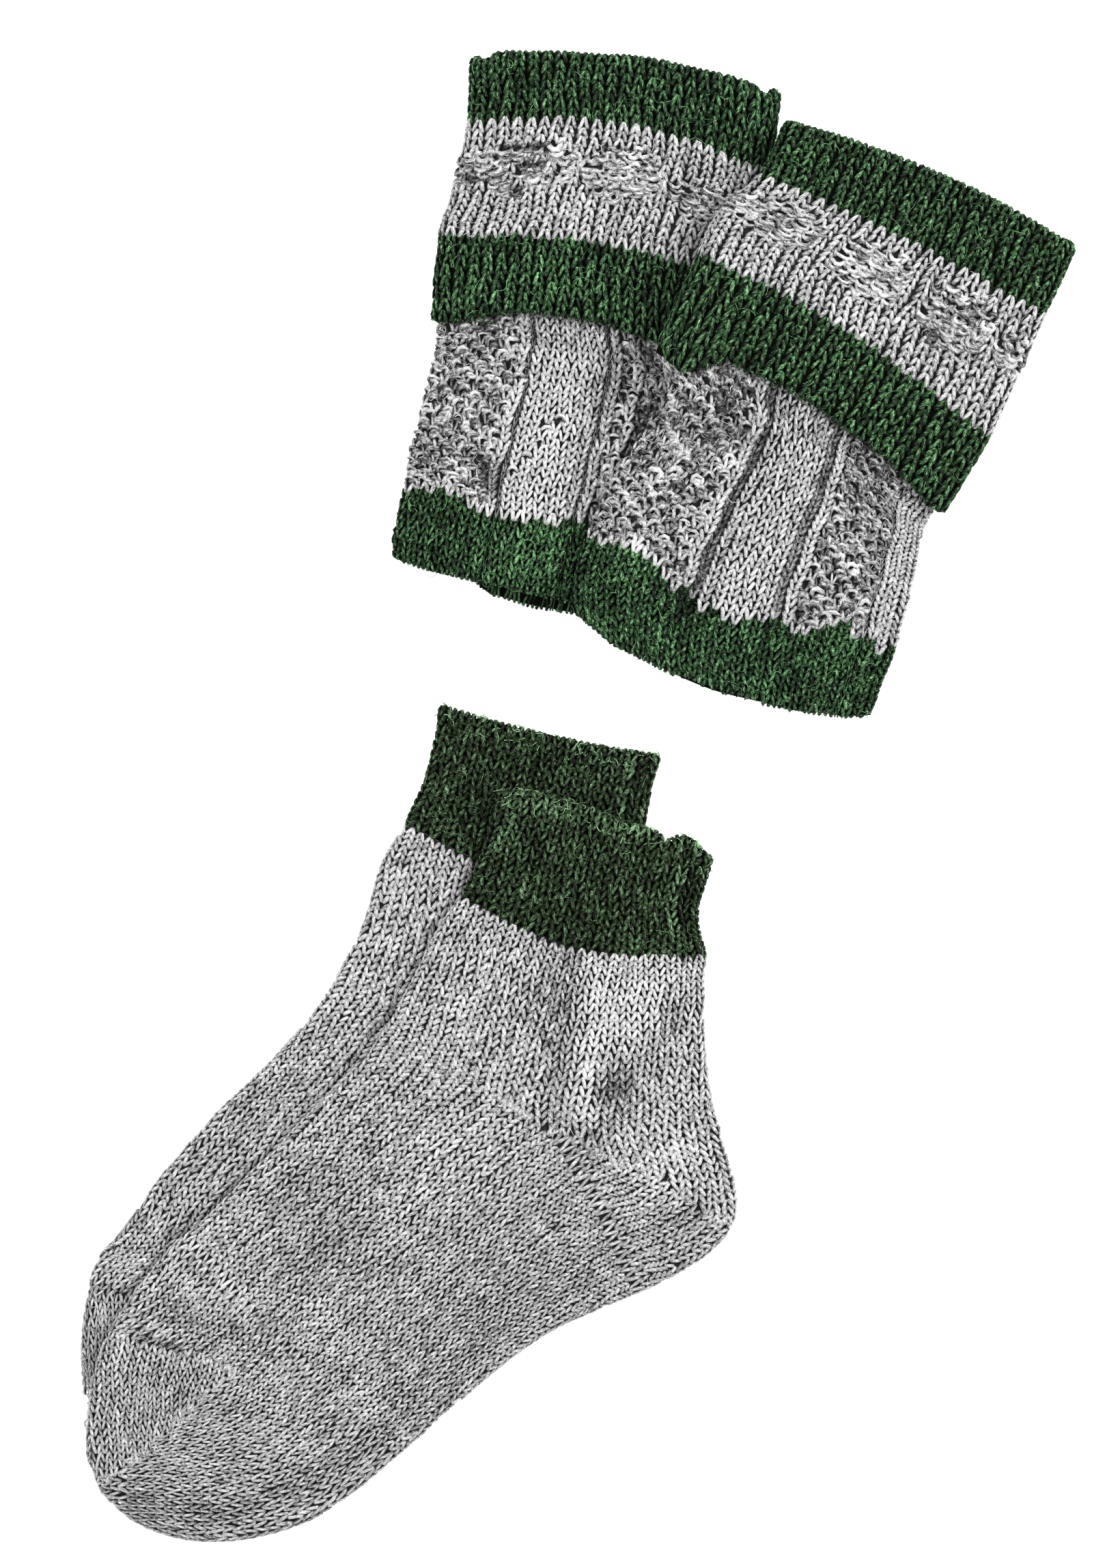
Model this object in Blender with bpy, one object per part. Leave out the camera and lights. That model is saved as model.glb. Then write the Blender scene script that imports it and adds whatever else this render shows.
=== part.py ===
"""A pair of hand-knit wool socks and the pair of turned-top calf warmers of the same set.

All four garments lie flat on a surface, one sock over the other and one warmer over the
other. Each is a knitted tube: a wall of cloth round a narrow slot, lofted from the sections
in the tables below. A section runs across the flattened tube from its left edge to its right
edge; "bow" moves its middle along the tube. Tables and sizes are in millimetres, +X to the
right and +Y towards the tops of the garments, and become metres when a mesh is made.
"""
from collections import namedtuple

import bmesh
import bpy
import numpy as np

MM = 0.001
NAME = "traditional_socks"

# Cloth and gaps
WALL = 2.2          # thickness of the knitted cloth
SLOT = 1.0          # inside height of a tube pressed flat
SEAM_GAP = 0.3      # between two pieces that are knitted on to each other
LAYER_GAP = 1.1     # between a turned top and the leg inside it
STACK_GAP = 0.5     # between a garment and the one lying on it
RIM = 0.7           # how far a free edge is rounded back
BEND_REACH = 2.4    # length of the fold at the upper end of a turned top
STACK_SPARE = 1.0   # extra height over the ribs of a leg that something lies on

# Half thicknesses, measured from the middle of a tube's slot
INNER_HALF = SLOT / 2
TUBE_HALF = INNER_HALF + WALL
TURN_INNER_HALF = TUBE_HALF + LAYER_GAP
TURN_HALF = TURN_INNER_HALF + WALL
TURN_LIFT = TURN_HALF - TUBE_HALF

# How an upper garment comes down from the lower one to the surface
DRAPE_MARGIN = 4.0
SOCK_REACH = 15.0
WARMER_REACH = 40.0
TURN_REACH = 14.0

# Points round a tube: across a flat side, round a side edge, round a fold and a toe
PLAIN_SHARES = np.linspace(0, 1, 11)
TURN_SHARES = np.linspace(0, 1, 13)
EDGE_STEPS = 4
BEND_ANGLES = np.linspace(0, np.pi, 5)
TOE_ANGLES = np.radians([30, 58, 76])

GREY_WOOL = (0.40, 0.40, 0.40, 1)
GREEN_WOOL = (0.035, 0.10, 0.04, 1)
WOOL_ROUGHNESS = 0.95
SHARP_ANGLE = np.radians(60)

Section = namedtuple("Section", "left_x left_y right_x right_y bow")
Fold = namedtuple("Fold", "x0 y0 x1 y1 half_width height")
Rib = namedtuple("Rib", "share height")

SOCK_OVER = [
    Section(-27, 1.5, 45, -18.5, -1),       # mouth of the cuff
    Section(-32, -17, 39, -40.5, 1),
    Section(-40, -34, 41.5, -54.5, 7),      # cuff to leg
    Section(-49, -48, 41, -66, 6),
    Section(-58, -66, 41, -84, 3),
    Section(-70, -86, 43, -101, 0),
    Section(-81, -98, 48, -119, 0),
    Section(-92, -109, 52, -135, 0),        # back of the heel
    Section(-98, -115, 49, -147, 0),
    Section(-103, -121, 34.5, -159, 0),     # bottom of the heel
    Section(-109, -126, 11.5, -169.5, 0),
    Section(-118, -135, -8.5, -178.5, 0),
    Section(-127, -144, -27, -191.5, 0),
    Section(-137, -152, -47, -209, 0),
    Section(-146, -162, -67, -226.5, 0),
    Section(-152, -171, -87.5, -242, 0),    # ball of the foot
    Section(-158, -181, -109.5, -249.5, 0),
    Section(-162, -192, -130, -250.5, 0),
    Section(-164, -206, -146.5, -245.5, 0),
    Section(-164.5, -219, -158, -236, 0),   # tip of the toe
]

SOCK_UNDER = [
    Section(-47.5, 30, 26.5, 13, 1.5),
    Section(-51, 10, 21.5, -8, 2),
    Section(-59, -10, 23, -30, 7),
    Section(-67, -24, 26, -42, 6),
    Section(-73.5, -45, 26, -61, 3),
    Section(-87, -70, 27, -75, 0),
    Section(-97, -83, 32, -93, 0),
    Section(-106.5, -93, 38, -109, 0),
    Section(-113, -99, 37, -120, 0),
    Section(-118, -104, 22, -132, 0),
    Section(-124, -109.5, 0, -145, 0),
    Section(-132.5, -119, -18, -155, 0),
    Section(-142, -130, -35, -167, 0),
    Section(-149.5, -140.5, -54, -184, 0),
    Section(-156, -149, -74, -204, 0),
    Section(-162, -156, -94, -219, 0),
    Section(-165, -167, -116, -228, 0),
    Section(-166.5, -181, -135, -230, 0),
    Section(-166.5, -197, -150, -226, 0),
    Section(-166, -209.5, -159, -219, 0),
]
CUFF_ROW = 2        # row of the sock tables where the cuff meets the leg
TOE_ROW = 19
CUFF_RINGS = np.linspace(0, CUFF_ROW, 5)
BODY_RINGS = np.arange(CUFF_ROW, TOE_ROW + 1)

# The turned top, from the fold down to its free edge
TOP_OVER = [
    Section(69, 227, 167, 185, -4),
    Section(60, 208, 156, 161.5, -2),       # green top to grey band
    Section(46, 195, 145.5, 139, -3),
    Section(40, 182, 137.5, 121, -4),       # grey band to green edge
    Section(26, 152, 122, 95, -9),
]
TOP_UNDER = [
    Section(-37.5, 248.5, 67.5, 237.5, -6.5),
    Section(-38, 227, 63.5, 210, -7),
    Section(-44, 200.5, 59, 191, -6),
    Section(-47.5, 189, 55.5, 173, -5),
    Section(-50.5, 160, 53, 142, -9),
]
BAND_TOP_ROW = 1.0
BAND_LOW_ROW = 3.0
EDGE_ROW = 4.0
TURN_TOP_RINGS = np.linspace(0, BAND_TOP_ROW, 3)
BAND_RINGS = np.linspace(BAND_TOP_ROW, BAND_LOW_ROW, 4)
TURN_EDGE_RINGS = np.linspace(BAND_LOW_ROW, EDGE_ROW, 3)

# The leg below the turned top, down to the bottom of its green hem
LEG_OVER = [
    Section(31, 139, 114.5, 91, -7),
    Section(23, 125, 113.5, 83, -3),
    Section(11, 106, 111, 70, 2),
    Section(1, 84, 105, 48, 6),             # leg to hem
    Section(-2, 70, 100, 35, 8),
    Section(-1, 60, 97, 27, 9),
]
LEG_UNDER = [
    Section(-48.5, 153, 51, 135, -6),
    Section(-51.5, 139, 49, 122, -4),
    Section(-56.5, 119, 43, 100, -3),
    Section(-59.5, 104, 38, 76, -1),
    Section(-63, 87, 34, 65, 0),
    Section(-63, 80, 31, 57, 0),
]
LEG_TOP_ROW = 0.5   # the leg's own upper end lies inside the fold
HEM_ROW = 8.0       # leg to hem, counted through the turned top's rows and the leg's
HEM_END_ROW = 10.0
LEG_RINGS = np.concatenate([TURN_TOP_RINGS[1:], BAND_RINGS[1:], TURN_EDGE_RINGS[1:],
                            np.arange(EDGE_ROW + 1, HEM_ROW + 1)])
HEM_RINGS = np.linspace(HEM_ROW, HEM_END_ROW, 4)
HEM_DROP_OVER = 0.8     # the back of a hem hangs this much lower than its front
HEM_DROP_UNDER = 3.2

# Knitted panels of the legs: raised and sunken columns across the tube, left to right
RIBS_OVER = [
    Rib(0.00, 0.0), Rib(0.08, 0.1), Rib(0.27, 0.1), Rib(0.31, 0.9), Rib(0.35, 0.7),
    Rib(0.385, -0.4), Rib(0.42, 0.5), Rib(0.52, 0.9), Rib(0.60, 0.6), Rib(0.635, -0.4),
    Rib(0.67, 0.7), Rib(0.71, 0.1), Rib(0.91, 0.1), Rib(0.94, -0.3), Rib(0.97, 0.5),
    Rib(1.00, 0.2),
]
RIBS_UNDER = [
    Rib(0.00, 0.0), Rib(0.05, 0.1), Rib(0.19, 0.1), Rib(0.225, 0.8), Rib(0.265, 0.7),
    Rib(0.292, -0.4), Rib(0.325, 0.6), Rib(0.42, 0.9), Rib(0.515, 0.6), Rib(0.54, -0.3),
    Rib(0.56, 0.6), Rib(0.60, -0.2), Rib(0.64, 0.5), Rib(0.69, -0.2), Rib(0.745, 0.5),
    Rib(0.79, 0.1), Rib(1.00, 0.0),
]

# Largest folds of the top layers, from one end (x0, y0) to the other (x1, y1)
FOLDS_SOCK_OVER = [
    Fold(-7, -57, -4, -109, 6, -1.0),
    Fold(8, -66, 5, -90, 8, 1.3),
    Fold(40, -72, 11, -98, 5, -0.8),
    Fold(11, -98, 3, -121, 5, -0.9),
    Fold(32, -120, 24, -133, 10, 1.2),
    Fold(31, -146, 49, -146, 5, -0.8),
    Fold(-40, -120, -75, -150, 12, 1.1),
    Fold(-120, -190, -95, -222, 12, 0.9),
]
FOLDS_SOCK_UNDER = [
    Fold(-66, -50, -82, -76, 5, 0.7),
    Fold(-150, -156, -160, -180, 6, 0.6),
]
FOLDS_LEG_OVER = [
    Fold(54, 104, 38, 64, 5, -0.7),
    Fold(72, 94, 64, 60, 4, -0.5),
    Fold(40, 112, 22, 78, 9, 1.0),
    Fold(92, 88, 90, 52, 10, 0.9),
]
FOLDS_LEG_UNDER = [
    Fold(-26, 110, -30, 90, 4, -0.6),
    Fold(-12, 140, -18, 84, 12, 0.9),
]
FOLDS_TOP_OVER = [
    Fold(30, 146, 50, 168, 6, 1.0),
    Fold(96, 178, 86, 148, 12, 0.9),
]
FOLDS_TOP_UNDER = [
    Fold(-6, 222, -10, 170, 14, 0.9),
]
CROWN_OVER = 1.3    # how far the slack top layer stands above a tube pressed flat
CROWN_UNDER = 0.6
EDGE_BLEND = 12.0   # folds and crown fade out this close to a side edge


def smooth(x):
    """0 to 1 with level ends."""
    x = np.clip(x, 0.0, 1.0)
    return x * x * (3 - 2 * x)


def segment_distance(points, start, end):
    """Distance from each point to one straight segment."""
    along = end - start
    share = np.clip((points - start) @ along / max(along @ along, 1e-9), 0, 1)
    return np.linalg.norm(points - start - share[:, None] * along, axis=1)


def outline_distance(points, outline):
    """Distance outside a closed outline; negative inside it."""
    ends = np.roll(outline, -1, axis=0)
    nearest = np.min([segment_distance(points, a, b) for a, b in zip(outline, ends)], axis=0)
    inside = np.zeros(len(points), bool)
    for (ax, ay), (bx, by) in zip(outline, ends):
        if ay == by:
            continue
        spans = (ay > points[:, 1]) != (by > points[:, 1])
        crossing = ax + (points[:, 1] - ay) * (bx - ax) / (by - ay)
        inside ^= spans & (points[:, 0] < crossing)
    return np.where(inside, -nearest, nearest)


class Lay:
    """The flat outline of one tube: a smooth run through the rows of its section table."""

    def __init__(self, sections):
        self.rows = np.array(sections, float)

    def _row(self, index):
        return self.rows[int(np.clip(index, 0, len(self.rows) - 1))]

    def section(self, row):
        """Left edge, right edge and bow at a row number, which may lie between two rows."""
        k = int(np.clip(np.floor(row), 0, len(self.rows) - 2))
        t = row - k
        a, b, c, d = (self._row(k + j) for j in (-1, 0, 1, 2))
        values = 0.5 * (2 * b + (c - a) * t + (2 * a - 5 * b + 4 * c - d) * t ** 2
                        + (3 * b - a - 3 * c + d) * t ** 3)
        return values[0:2], values[2:4], values[4]

    def axis(self, row):
        """Unit direction down the tube."""
        step = 0.05
        ends = []
        for r in (row - step, row + step):
            left, right, _ = self.section(np.clip(r, 0, len(self.rows) - 1))
            ends.append((left + right) / 2)
        return (ends[1] - ends[0]) / np.linalg.norm(ends[1] - ends[0])

    def outline(self):
        """Closed outline through the edge points of every row."""
        return np.vstack([self.rows[:, 0:2], self.rows[::-1, 2:4]])


class Support:
    """Something under a garment: the garment rides on it and comes down beside it."""

    def __init__(self, outline, height, reach):
        self.outline, self.height, self.reach = outline, height, reach

    def lift(self, points):
        outside = outline_distance(points, self.outline) - DRAPE_MARGIN
        return self.height * (1 - smooth(outside / self.reach))


class Cloth:
    """One garment's tube: where it lies, what it lies on, and the folds in its top layer."""

    def __init__(self, lay, edge, supports=(), own=None, folds=(), crown=0.0, ribs=None):
        self.lay, self.edge = lay, edge
        self.supports, self.own = supports, own
        self.folds, self.crown, self.ribs = folds, crown, ribs
        self.relief_start = EDGE_ROW - 0.4 if own else -1.0
        self.top_shares = [rib.share for rib in ribs] if ribs else PLAIN_SHARES
        self.bottom_shares = PLAIN_SHARES

    def base(self, points):
        """Height of the underside above the surface."""
        lifts = [s.lift(points) for s in self.supports]
        height = np.zeros(len(points))
        if lifts:
            height = np.sum([lift ** 6 for lift in lifts], axis=0) ** (1 / 6)
        if self.own:
            height = height + self.own.lift(points)
        return height

    def swell(self, points, shares, width, relief):
        """Crown and folds of the top layer."""
        to_edge = np.minimum(shares, 1 - shares) * width
        weight = smooth(to_edge / EDGE_BLEND)
        height = self.crown * weight
        for fold in self.folds:
            start, end = np.array(fold[0:2], float), np.array(fold[2:4], float)
            nearness = np.exp(-(segment_distance(points, start, end) / fold.half_width) ** 2)
            height = height + fold.height * relief * weight * nearness
        return height

    def ring(self, row, half, shift=0.0, outer=False, drop=0.0):
        """One closed ring of a skin, half above and half below the middle of the slot.

        shift moves it down the tube, drop moves only its lower side, and outer adds the ribs.
        """
        left, right, bow = self.lay.section(row)
        axis = self.lay.axis(row)
        width = np.linalg.norm(right - left)
        across = (right - left) / width
        left_centre, right_centre = left + across * self.edge, right - across * self.edge

        def flat(shares, extra):
            shares = np.asarray(shares, float)[:, None]
            points = left_centre + (right_centre - left_centre) * shares
            return points + axis * (4 * bow * shares * (1 - shares) + shift + extra)

        top_shares, low_shares = np.asarray(self.top_shares), np.asarray(self.bottom_shares)[::-1]
        top, low = flat(top_shares, 0.0), flat(low_shares, drop)
        relief = smooth(row - self.relief_start)
        rise = half + self.swell(top, top_shares, width, relief)
        if outer and self.ribs:
            rise = rise + relief * np.array([rib.height for rib in self.ribs])
        angles = np.pi * np.arange(1, EDGE_STEPS) / EDGE_STEPS
        turn, up = np.sin(angles)[:, None] * half, np.cos(angles) * half
        fade = drop * np.arange(1, EDGE_STEPS)[:, None] / EDGE_STEPS
        right_side = top[-1] + across * turn + axis * fade
        left_side = top[0] - across * turn[::-1] + axis * fade[::-1]
        flat_points = np.vstack([top, right_side, low, left_side])
        heights = np.concatenate([rise, up, np.full(len(low), -half), up[::-1]])
        heights = heights + self.base(flat_points) + self.edge
        return np.column_stack([flat_points, heights])


def loft(rings, closed):
    """Skin over a run of rings: a tube wall when closed, a pocket wall with two caps if not."""
    mesh = bmesh.new()
    loops = [[mesh.verts.new(point * MM) for point in ring] for ring in rings]
    pairs = list(zip(loops, loops[1:]))
    if closed:
        pairs.append((loops[-1], loops[0]))
    else:
        mesh.faces.new(loops[0])
        mesh.faces.new(loops[-1])
    for near, far in pairs:
        for k in range(len(near)):
            j = (k + 1) % len(near)
            mesh.faces.new((near[k], near[j], far[j], far[k]))
    bmesh.ops.recalc_face_normals(mesh, faces=mesh.faces)
    return mesh


def wool(name, colour):
    material = bpy.data.materials.new(name)
    material.use_nodes = True
    shader = material.node_tree.nodes["Principled BSDF"]
    shader.inputs["Base Color"].default_value = colour
    shader.inputs["Roughness"].default_value = WOOL_ROUGHNESS
    shader.inputs["Metallic"].default_value = 0.0
    return material


def add_piece(name, mesh, material, collection):
    data = bpy.data.meshes.new(name)
    mesh.to_mesh(data)
    mesh.free()
    data.materials.append(material)
    data.shade_smooth()
    data.set_sharp_from_angle(angle=SHARP_ANGLE)
    piece = bpy.data.objects.new(name, data)
    collection.objects.link(piece)
    return piece


def tube_wall(cloth, rows, half_in, half_out, start_gap, end_gap, rim_start=False,
              rim_end=False, drop=0.0):
    """Rings of a wall open at both ends; a free end is rounded, a seamed end is square."""
    last = len(rows) - 1
    outer, inner = [], []
    for k, row in enumerate(rows):
        shift = start_gap if k == 0 else -end_gap if k == last else 0.0
        if k == 0 and rim_start:
            shift = RIM
        if k == last and rim_end:
            shift = -RIM
        sag = drop * k / last
        outer.append(cloth.ring(row, half_out, shift, outer=True, drop=sag))
        inner.append(cloth.ring(row, half_in, shift, drop=sag))
    middle = (half_in + half_out) / 2
    rings = list(outer)
    if rim_end:
        rings.append(cloth.ring(rows[-1], middle, drop=drop))
    rings += inner[::-1]
    if rim_start:
        rings.append(cloth.ring(rows[0], middle))
    return rings


def turned_top(cloth, rows, leg_row):
    """Rings of the green top: up the outside, over the fold and down to the leg's upper end."""
    first, last = rows[0], rows[-1]
    seam = SEAM_GAP / 2
    middle, radius = (TURN_HALF + INNER_HALF) / 2, (TURN_HALF - INNER_HALF) / 2
    pocket = BEND_REACH + LAYER_GAP / 2
    outer = [cloth.ring(last, TURN_HALF, -seam)]
    outer += [cloth.ring(row, TURN_HALF) for row in rows[-2:0:-1]]
    bend = [cloth.ring(first, middle + radius * np.cos(a), BEND_REACH * (1 - np.sin(a)))
            for a in BEND_ANGLES]
    inside = [cloth.ring(leg_row, INNER_HALF, -seam), cloth.ring(leg_row, TUBE_HALF, -seam)]
    crook = [cloth.ring(first, TUBE_HALF, pocket), cloth.ring(first, TURN_INNER_HALF, pocket)]
    back = [cloth.ring(row, TURN_INNER_HALF) for row in rows[1:-1]]
    back.append(cloth.ring(last, TURN_INNER_HALF, -seam))
    return outer + bend + inside + crook + back


def sock_body(cloth, rows):
    """Rings of a pocket wall: leg, heel, foot and closed toe."""
    def toe(half):
        return [cloth.ring(TOE_ROW, half * np.cos(a), half * np.sin(a)) for a in TOE_ANGLES]

    shifts = [SEAM_GAP / 2] + [0.0] * (len(rows) - 1)
    outer = [cloth.ring(row, TUBE_HALF, s, outer=True) for row, s in zip(rows, shifts)]
    inner = [cloth.ring(row, INNER_HALF, s) for row, s in zip(rows, shifts)]
    return toe(INNER_HALF)[::-1] + inner[::-1] + outer + toe(TUBE_HALF)


def inset_rows(sections, distance):
    """The same sections, narrower by a distance at each edge."""
    narrow = []
    for s in sections:
        left, right = np.array(s[0:2], float), np.array(s[2:4], float)
        across = (right - left) / np.linalg.norm(right - left)
        left, right = left + across * distance, right - across * distance
        narrow.append(Section(*left, *right, s.bow))
    return narrow


def build_sock(label, table, supports, folds, crown, materials, collection):
    """A green cuff and a grey body."""
    green, grey = materials
    cloth = Cloth(Lay(table), TUBE_HALF, supports, folds=folds, crown=crown)
    seam = SEAM_GAP / 2
    cuff = tube_wall(cloth, CUFF_RINGS, INNER_HALF, TUBE_HALF, 0, seam, rim_start=True)
    pieces = [add_piece(f"{label}_cuff", loft(cuff, True), green, collection)]
    body = sock_body(cloth, BODY_RINGS)
    pieces.append(add_piece(f"{label}_body", loft(body, False), grey, collection))
    return pieces


def build_warmer(label, top, leg, supports, leg_folds, top_folds, crown, ribs, drop, materials,
                 collection):
    """A footless tube: grey leg, green hem, and the top turned down outside the leg."""
    green, grey = materials
    turn_lay = Lay(top)
    own = Support(turn_lay.outline(), TURN_LIFT, TURN_REACH)
    turn = Cloth(turn_lay, TURN_HALF, supports, folds=top_folds, crown=crown)
    turn.top_shares = TURN_SHARES
    leg_lay = Lay(inset_rows(top, TURN_HALF - TUBE_HALF) + leg)
    tube = Cloth(leg_lay, TUBE_HALF, supports, own, leg_folds, crown, ribs)
    seam = SEAM_GAP / 2
    wall = tube_wall(tube, LEG_RINGS, INNER_HALF, TUBE_HALF, seam, seam)
    pieces = [add_piece(f"{label}_leg", loft(wall, True), grey, collection)]
    plain = Cloth(leg_lay, TUBE_HALF, supports, own, leg_folds, crown)
    hem = tube_wall(plain, HEM_RINGS, INNER_HALF, TUBE_HALF, seam, 0, rim_end=True,
                    drop=drop)
    pieces.append(add_piece(f"{label}_hem", loft(hem, True), green, collection))
    fold = turned_top(turn, TURN_TOP_RINGS, LEG_TOP_ROW)
    pieces.append(add_piece(f"{label}_turn_top", loft(fold, True), green, collection))
    band = tube_wall(turn, BAND_RINGS, TURN_INNER_HALF, TURN_HALF, seam, seam)
    pieces.append(add_piece(f"{label}_turn_band", loft(band, True), grey, collection))
    edge = tube_wall(turn, TURN_EDGE_RINGS, TURN_INNER_HALF, TURN_HALF, seam, 0, rim_end=True)
    pieces.append(add_piece(f"{label}_turn_edge", loft(edge, True), green, collection))
    return pieces


def centre_on_origin(pieces):
    """Move every mesh so that the set's box stands centred on the origin."""
    points = np.vstack([[v.co[:] for v in piece.data.vertices] for piece in pieces])
    low, high = points.min(axis=0), points.max(axis=0)
    move = np.array([-(low[0] + high[0]) / 2, -(low[1] + high[1]) / 2, -low[2]])
    for piece in pieces:
        for vertex in piece.data.vertices:
            vertex.co = [c + m for c, m in zip(vertex.co, move)]


def main():
    for old in list(bpy.data.objects):
        bpy.data.objects.remove(old)
    collection = bpy.data.collections.new(NAME)
    bpy.context.scene.collection.children.link(collection)
    materials = wool("green_wool", GREEN_WOOL), wool("grey_wool", GREY_WOOL)
    lift = 2 * TUBE_HALF + CROWN_UNDER + STACK_GAP
    turn_lift = 2 * TURN_HALF + CROWN_UNDER + STACK_GAP

    pieces = build_sock("sock_under", SOCK_UNDER, [], FOLDS_SOCK_UNDER, CROWN_UNDER,
                        materials, collection)
    on_sock = [Support(Lay(SOCK_UNDER).outline(), lift, SOCK_REACH)]
    pieces += build_sock("sock_over", SOCK_OVER, on_sock, FOLDS_SOCK_OVER, CROWN_OVER,
                         materials, collection)
    pieces += build_warmer("warmer_under", TOP_UNDER, LEG_UNDER, [], FOLDS_LEG_UNDER,
                           FOLDS_TOP_UNDER, CROWN_UNDER, RIBS_UNDER, HEM_DROP_UNDER,
                           materials, collection)
    on_warmer = [Support(Lay(LEG_UNDER).outline(), lift + STACK_SPARE, WARMER_REACH),
                 Support(Lay(TOP_UNDER).outline(), turn_lift, WARMER_REACH)]
    pieces += build_warmer("warmer_over", TOP_OVER, LEG_OVER, on_warmer, FOLDS_LEG_OVER,
                           FOLDS_TOP_OVER, CROWN_OVER, RIBS_OVER, HEM_DROP_OVER,
                           materials, collection)
    centre_on_origin(pieces)


main()
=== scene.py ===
"""Knitted socks and calf warmers, dressed: every stitch that shows is modelled.

Each garment is a tube of cloth lying flat. Its outline tables are the CAD model's, in
millimetres. The cloth is a thin shell, near black as painted shade for the gaps, and plump
yarn stitches lie half buried in it, set out on nets of courses (rows of stitches) and wales
(columns of stitches).
Nets that were laid out over the photograph are given in its pixels.
"""
import math
from collections import namedtuple

import bpy
import numpy as np
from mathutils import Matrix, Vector, kdtree


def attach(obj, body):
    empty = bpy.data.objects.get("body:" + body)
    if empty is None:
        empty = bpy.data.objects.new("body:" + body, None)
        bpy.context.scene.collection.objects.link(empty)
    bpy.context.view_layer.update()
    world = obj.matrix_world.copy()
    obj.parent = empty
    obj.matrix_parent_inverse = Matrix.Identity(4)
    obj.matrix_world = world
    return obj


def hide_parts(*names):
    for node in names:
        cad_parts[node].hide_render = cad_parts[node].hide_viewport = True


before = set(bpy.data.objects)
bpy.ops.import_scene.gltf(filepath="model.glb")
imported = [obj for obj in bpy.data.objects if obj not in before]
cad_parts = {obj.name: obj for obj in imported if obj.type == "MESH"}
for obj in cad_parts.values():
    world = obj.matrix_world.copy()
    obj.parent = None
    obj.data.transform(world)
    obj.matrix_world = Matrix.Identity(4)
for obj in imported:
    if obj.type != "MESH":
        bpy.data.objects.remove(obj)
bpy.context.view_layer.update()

MM = 0.001
PHOTO_WIDTH, PHOTO_HEIGHT = 1621, 2296
PHOTO_SCALE = 0.23              # millimetres a pixel
PHOTO_ORIGIN = (851, 1164)      # the pixel over the frame's origin

rng = np.random.default_rng(20)


# ---------------------------------------------------------------- camera and light

def make_camera():
    """Straight overhead, framed as the photograph is."""
    distance = 4.2
    focus_height = 0.010
    centre_x = (PHOTO_WIDTH / 2 - PHOTO_ORIGIN[0]) * PHOTO_SCALE * MM
    centre_y = (PHOTO_ORIGIN[1] - PHOTO_HEIGHT / 2) * PHOTO_SCALE * MM
    data = bpy.data.cameras.new("camera")
    data.sensor_width = 36
    data.lens = data.sensor_width * distance / (PHOTO_HEIGHT * PHOTO_SCALE * MM)
    data.clip_end = 20
    camera = bpy.data.objects.new("camera", data)
    camera.location = (centre_x, centre_y, focus_height + distance)
    bpy.context.scene.collection.objects.link(camera)
    bpy.context.scene.camera = camera


def area_light(name, place, size, power):
    """A round lamp that faces the frame's origin."""
    data = bpy.data.lights.new(name, "AREA")
    data.shape = "DISK"
    data.size, data.energy = size, power
    light = bpy.data.objects.new(name, data)
    light.location = place
    light.rotation_euler = (-Vector(place)).to_track_quat("-Z", "Y").to_euler()
    bpy.context.scene.collection.objects.link(light)


def make_light():
    area_light("key", (2.1, 1.2, 1.6), 1.1, 58)
    area_light("fill", (-1.2, 0.5, 1.3), 1.4, 13)
    world = bpy.data.worlds.new("studio")
    world.use_nodes = True
    set_inputs(world.node_tree.nodes["Background"], {"Color": (1, 1, 1, 1), "Strength": 0.72})
    bpy.context.scene.world = world
    bpy.context.scene.view_settings.view_transform = "Standard"


def make_floor(material):
    side, level = 3.0, -0.0002
    corners = [(-side, -side, level), (side, -side, level), (side, side, level),
               (-side, side, level)]
    mesh = bpy.data.meshes.new("floor")
    mesh.from_pydata(corners, [], [(0, 1, 2, 3)])
    mesh.materials.append(material)
    floor = bpy.data.objects.new("floor", mesh)
    bpy.context.scene.collection.objects.link(floor)


# ---------------------------------------------------------------- materials

def set_inputs(made, values):
    for key, value in values.items():
        made.inputs[key].default_value = value


def new_material(name, roughness, specular):
    material = bpy.data.materials.new(name)
    material.use_nodes = True
    tree = material.node_tree
    shader = tree.nodes["Principled BSDF"]
    set_inputs(shader, {"Roughness": roughness, "Specular IOR Level": specular})
    return material, tree, shader


def noise(tree, source, scale, detail, roughness):
    made = tree.nodes.new("ShaderNodeTexNoise")
    set_inputs(made, {"Scale": scale, "Detail": detail, "Roughness": roughness})
    tree.links.new(source, made.inputs["Vector"])
    return made.outputs["Fac"]


def object_position(tree):
    return tree.nodes.new("ShaderNodeTexCoord").outputs["Object"]


def ramp(tree, source, stops):
    """A colour ramp with (position, colour) stops."""
    made = tree.nodes.new("ShaderNodeValToRGB")
    elements = made.color_ramp.elements
    while len(elements) < len(stops):
        elements.new(0.5)
    for element, (position, colour) in zip(elements, stops):
        element.position = position
        element.color = (*colour, 1)
    tree.links.new(source, made.inputs["Fac"])
    return made.outputs["Color"]


def math_node(tree, operation, a, b):
    made = tree.nodes.new("ShaderNodeMath")
    made.operation = operation
    for socket, value in zip(made.inputs, (a, b)):
        if isinstance(value, (int, float)):
            socket.default_value = value
        else:
            tree.links.new(value, socket)
    return made.outputs[0]


def scaled(tree, value, middle, gain):
    return math_node(tree, "MULTIPLY", math_node(tree, "SUBTRACT", value, middle), gain)


def attribute(tree, name):
    made = tree.nodes.new("ShaderNodeAttribute")
    made.attribute_name = name
    return made.outputs["Fac"]


def add_bump(tree, shader, height, distance):
    bump = tree.nodes.new("ShaderNodeBump")
    set_inputs(bump, {"Strength": 0.9, "Distance": distance})
    tree.links.new(height, bump.inputs["Height"])
    tree.links.new(bump.outputs["Normal"], shader.inputs["Normal"])


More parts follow.
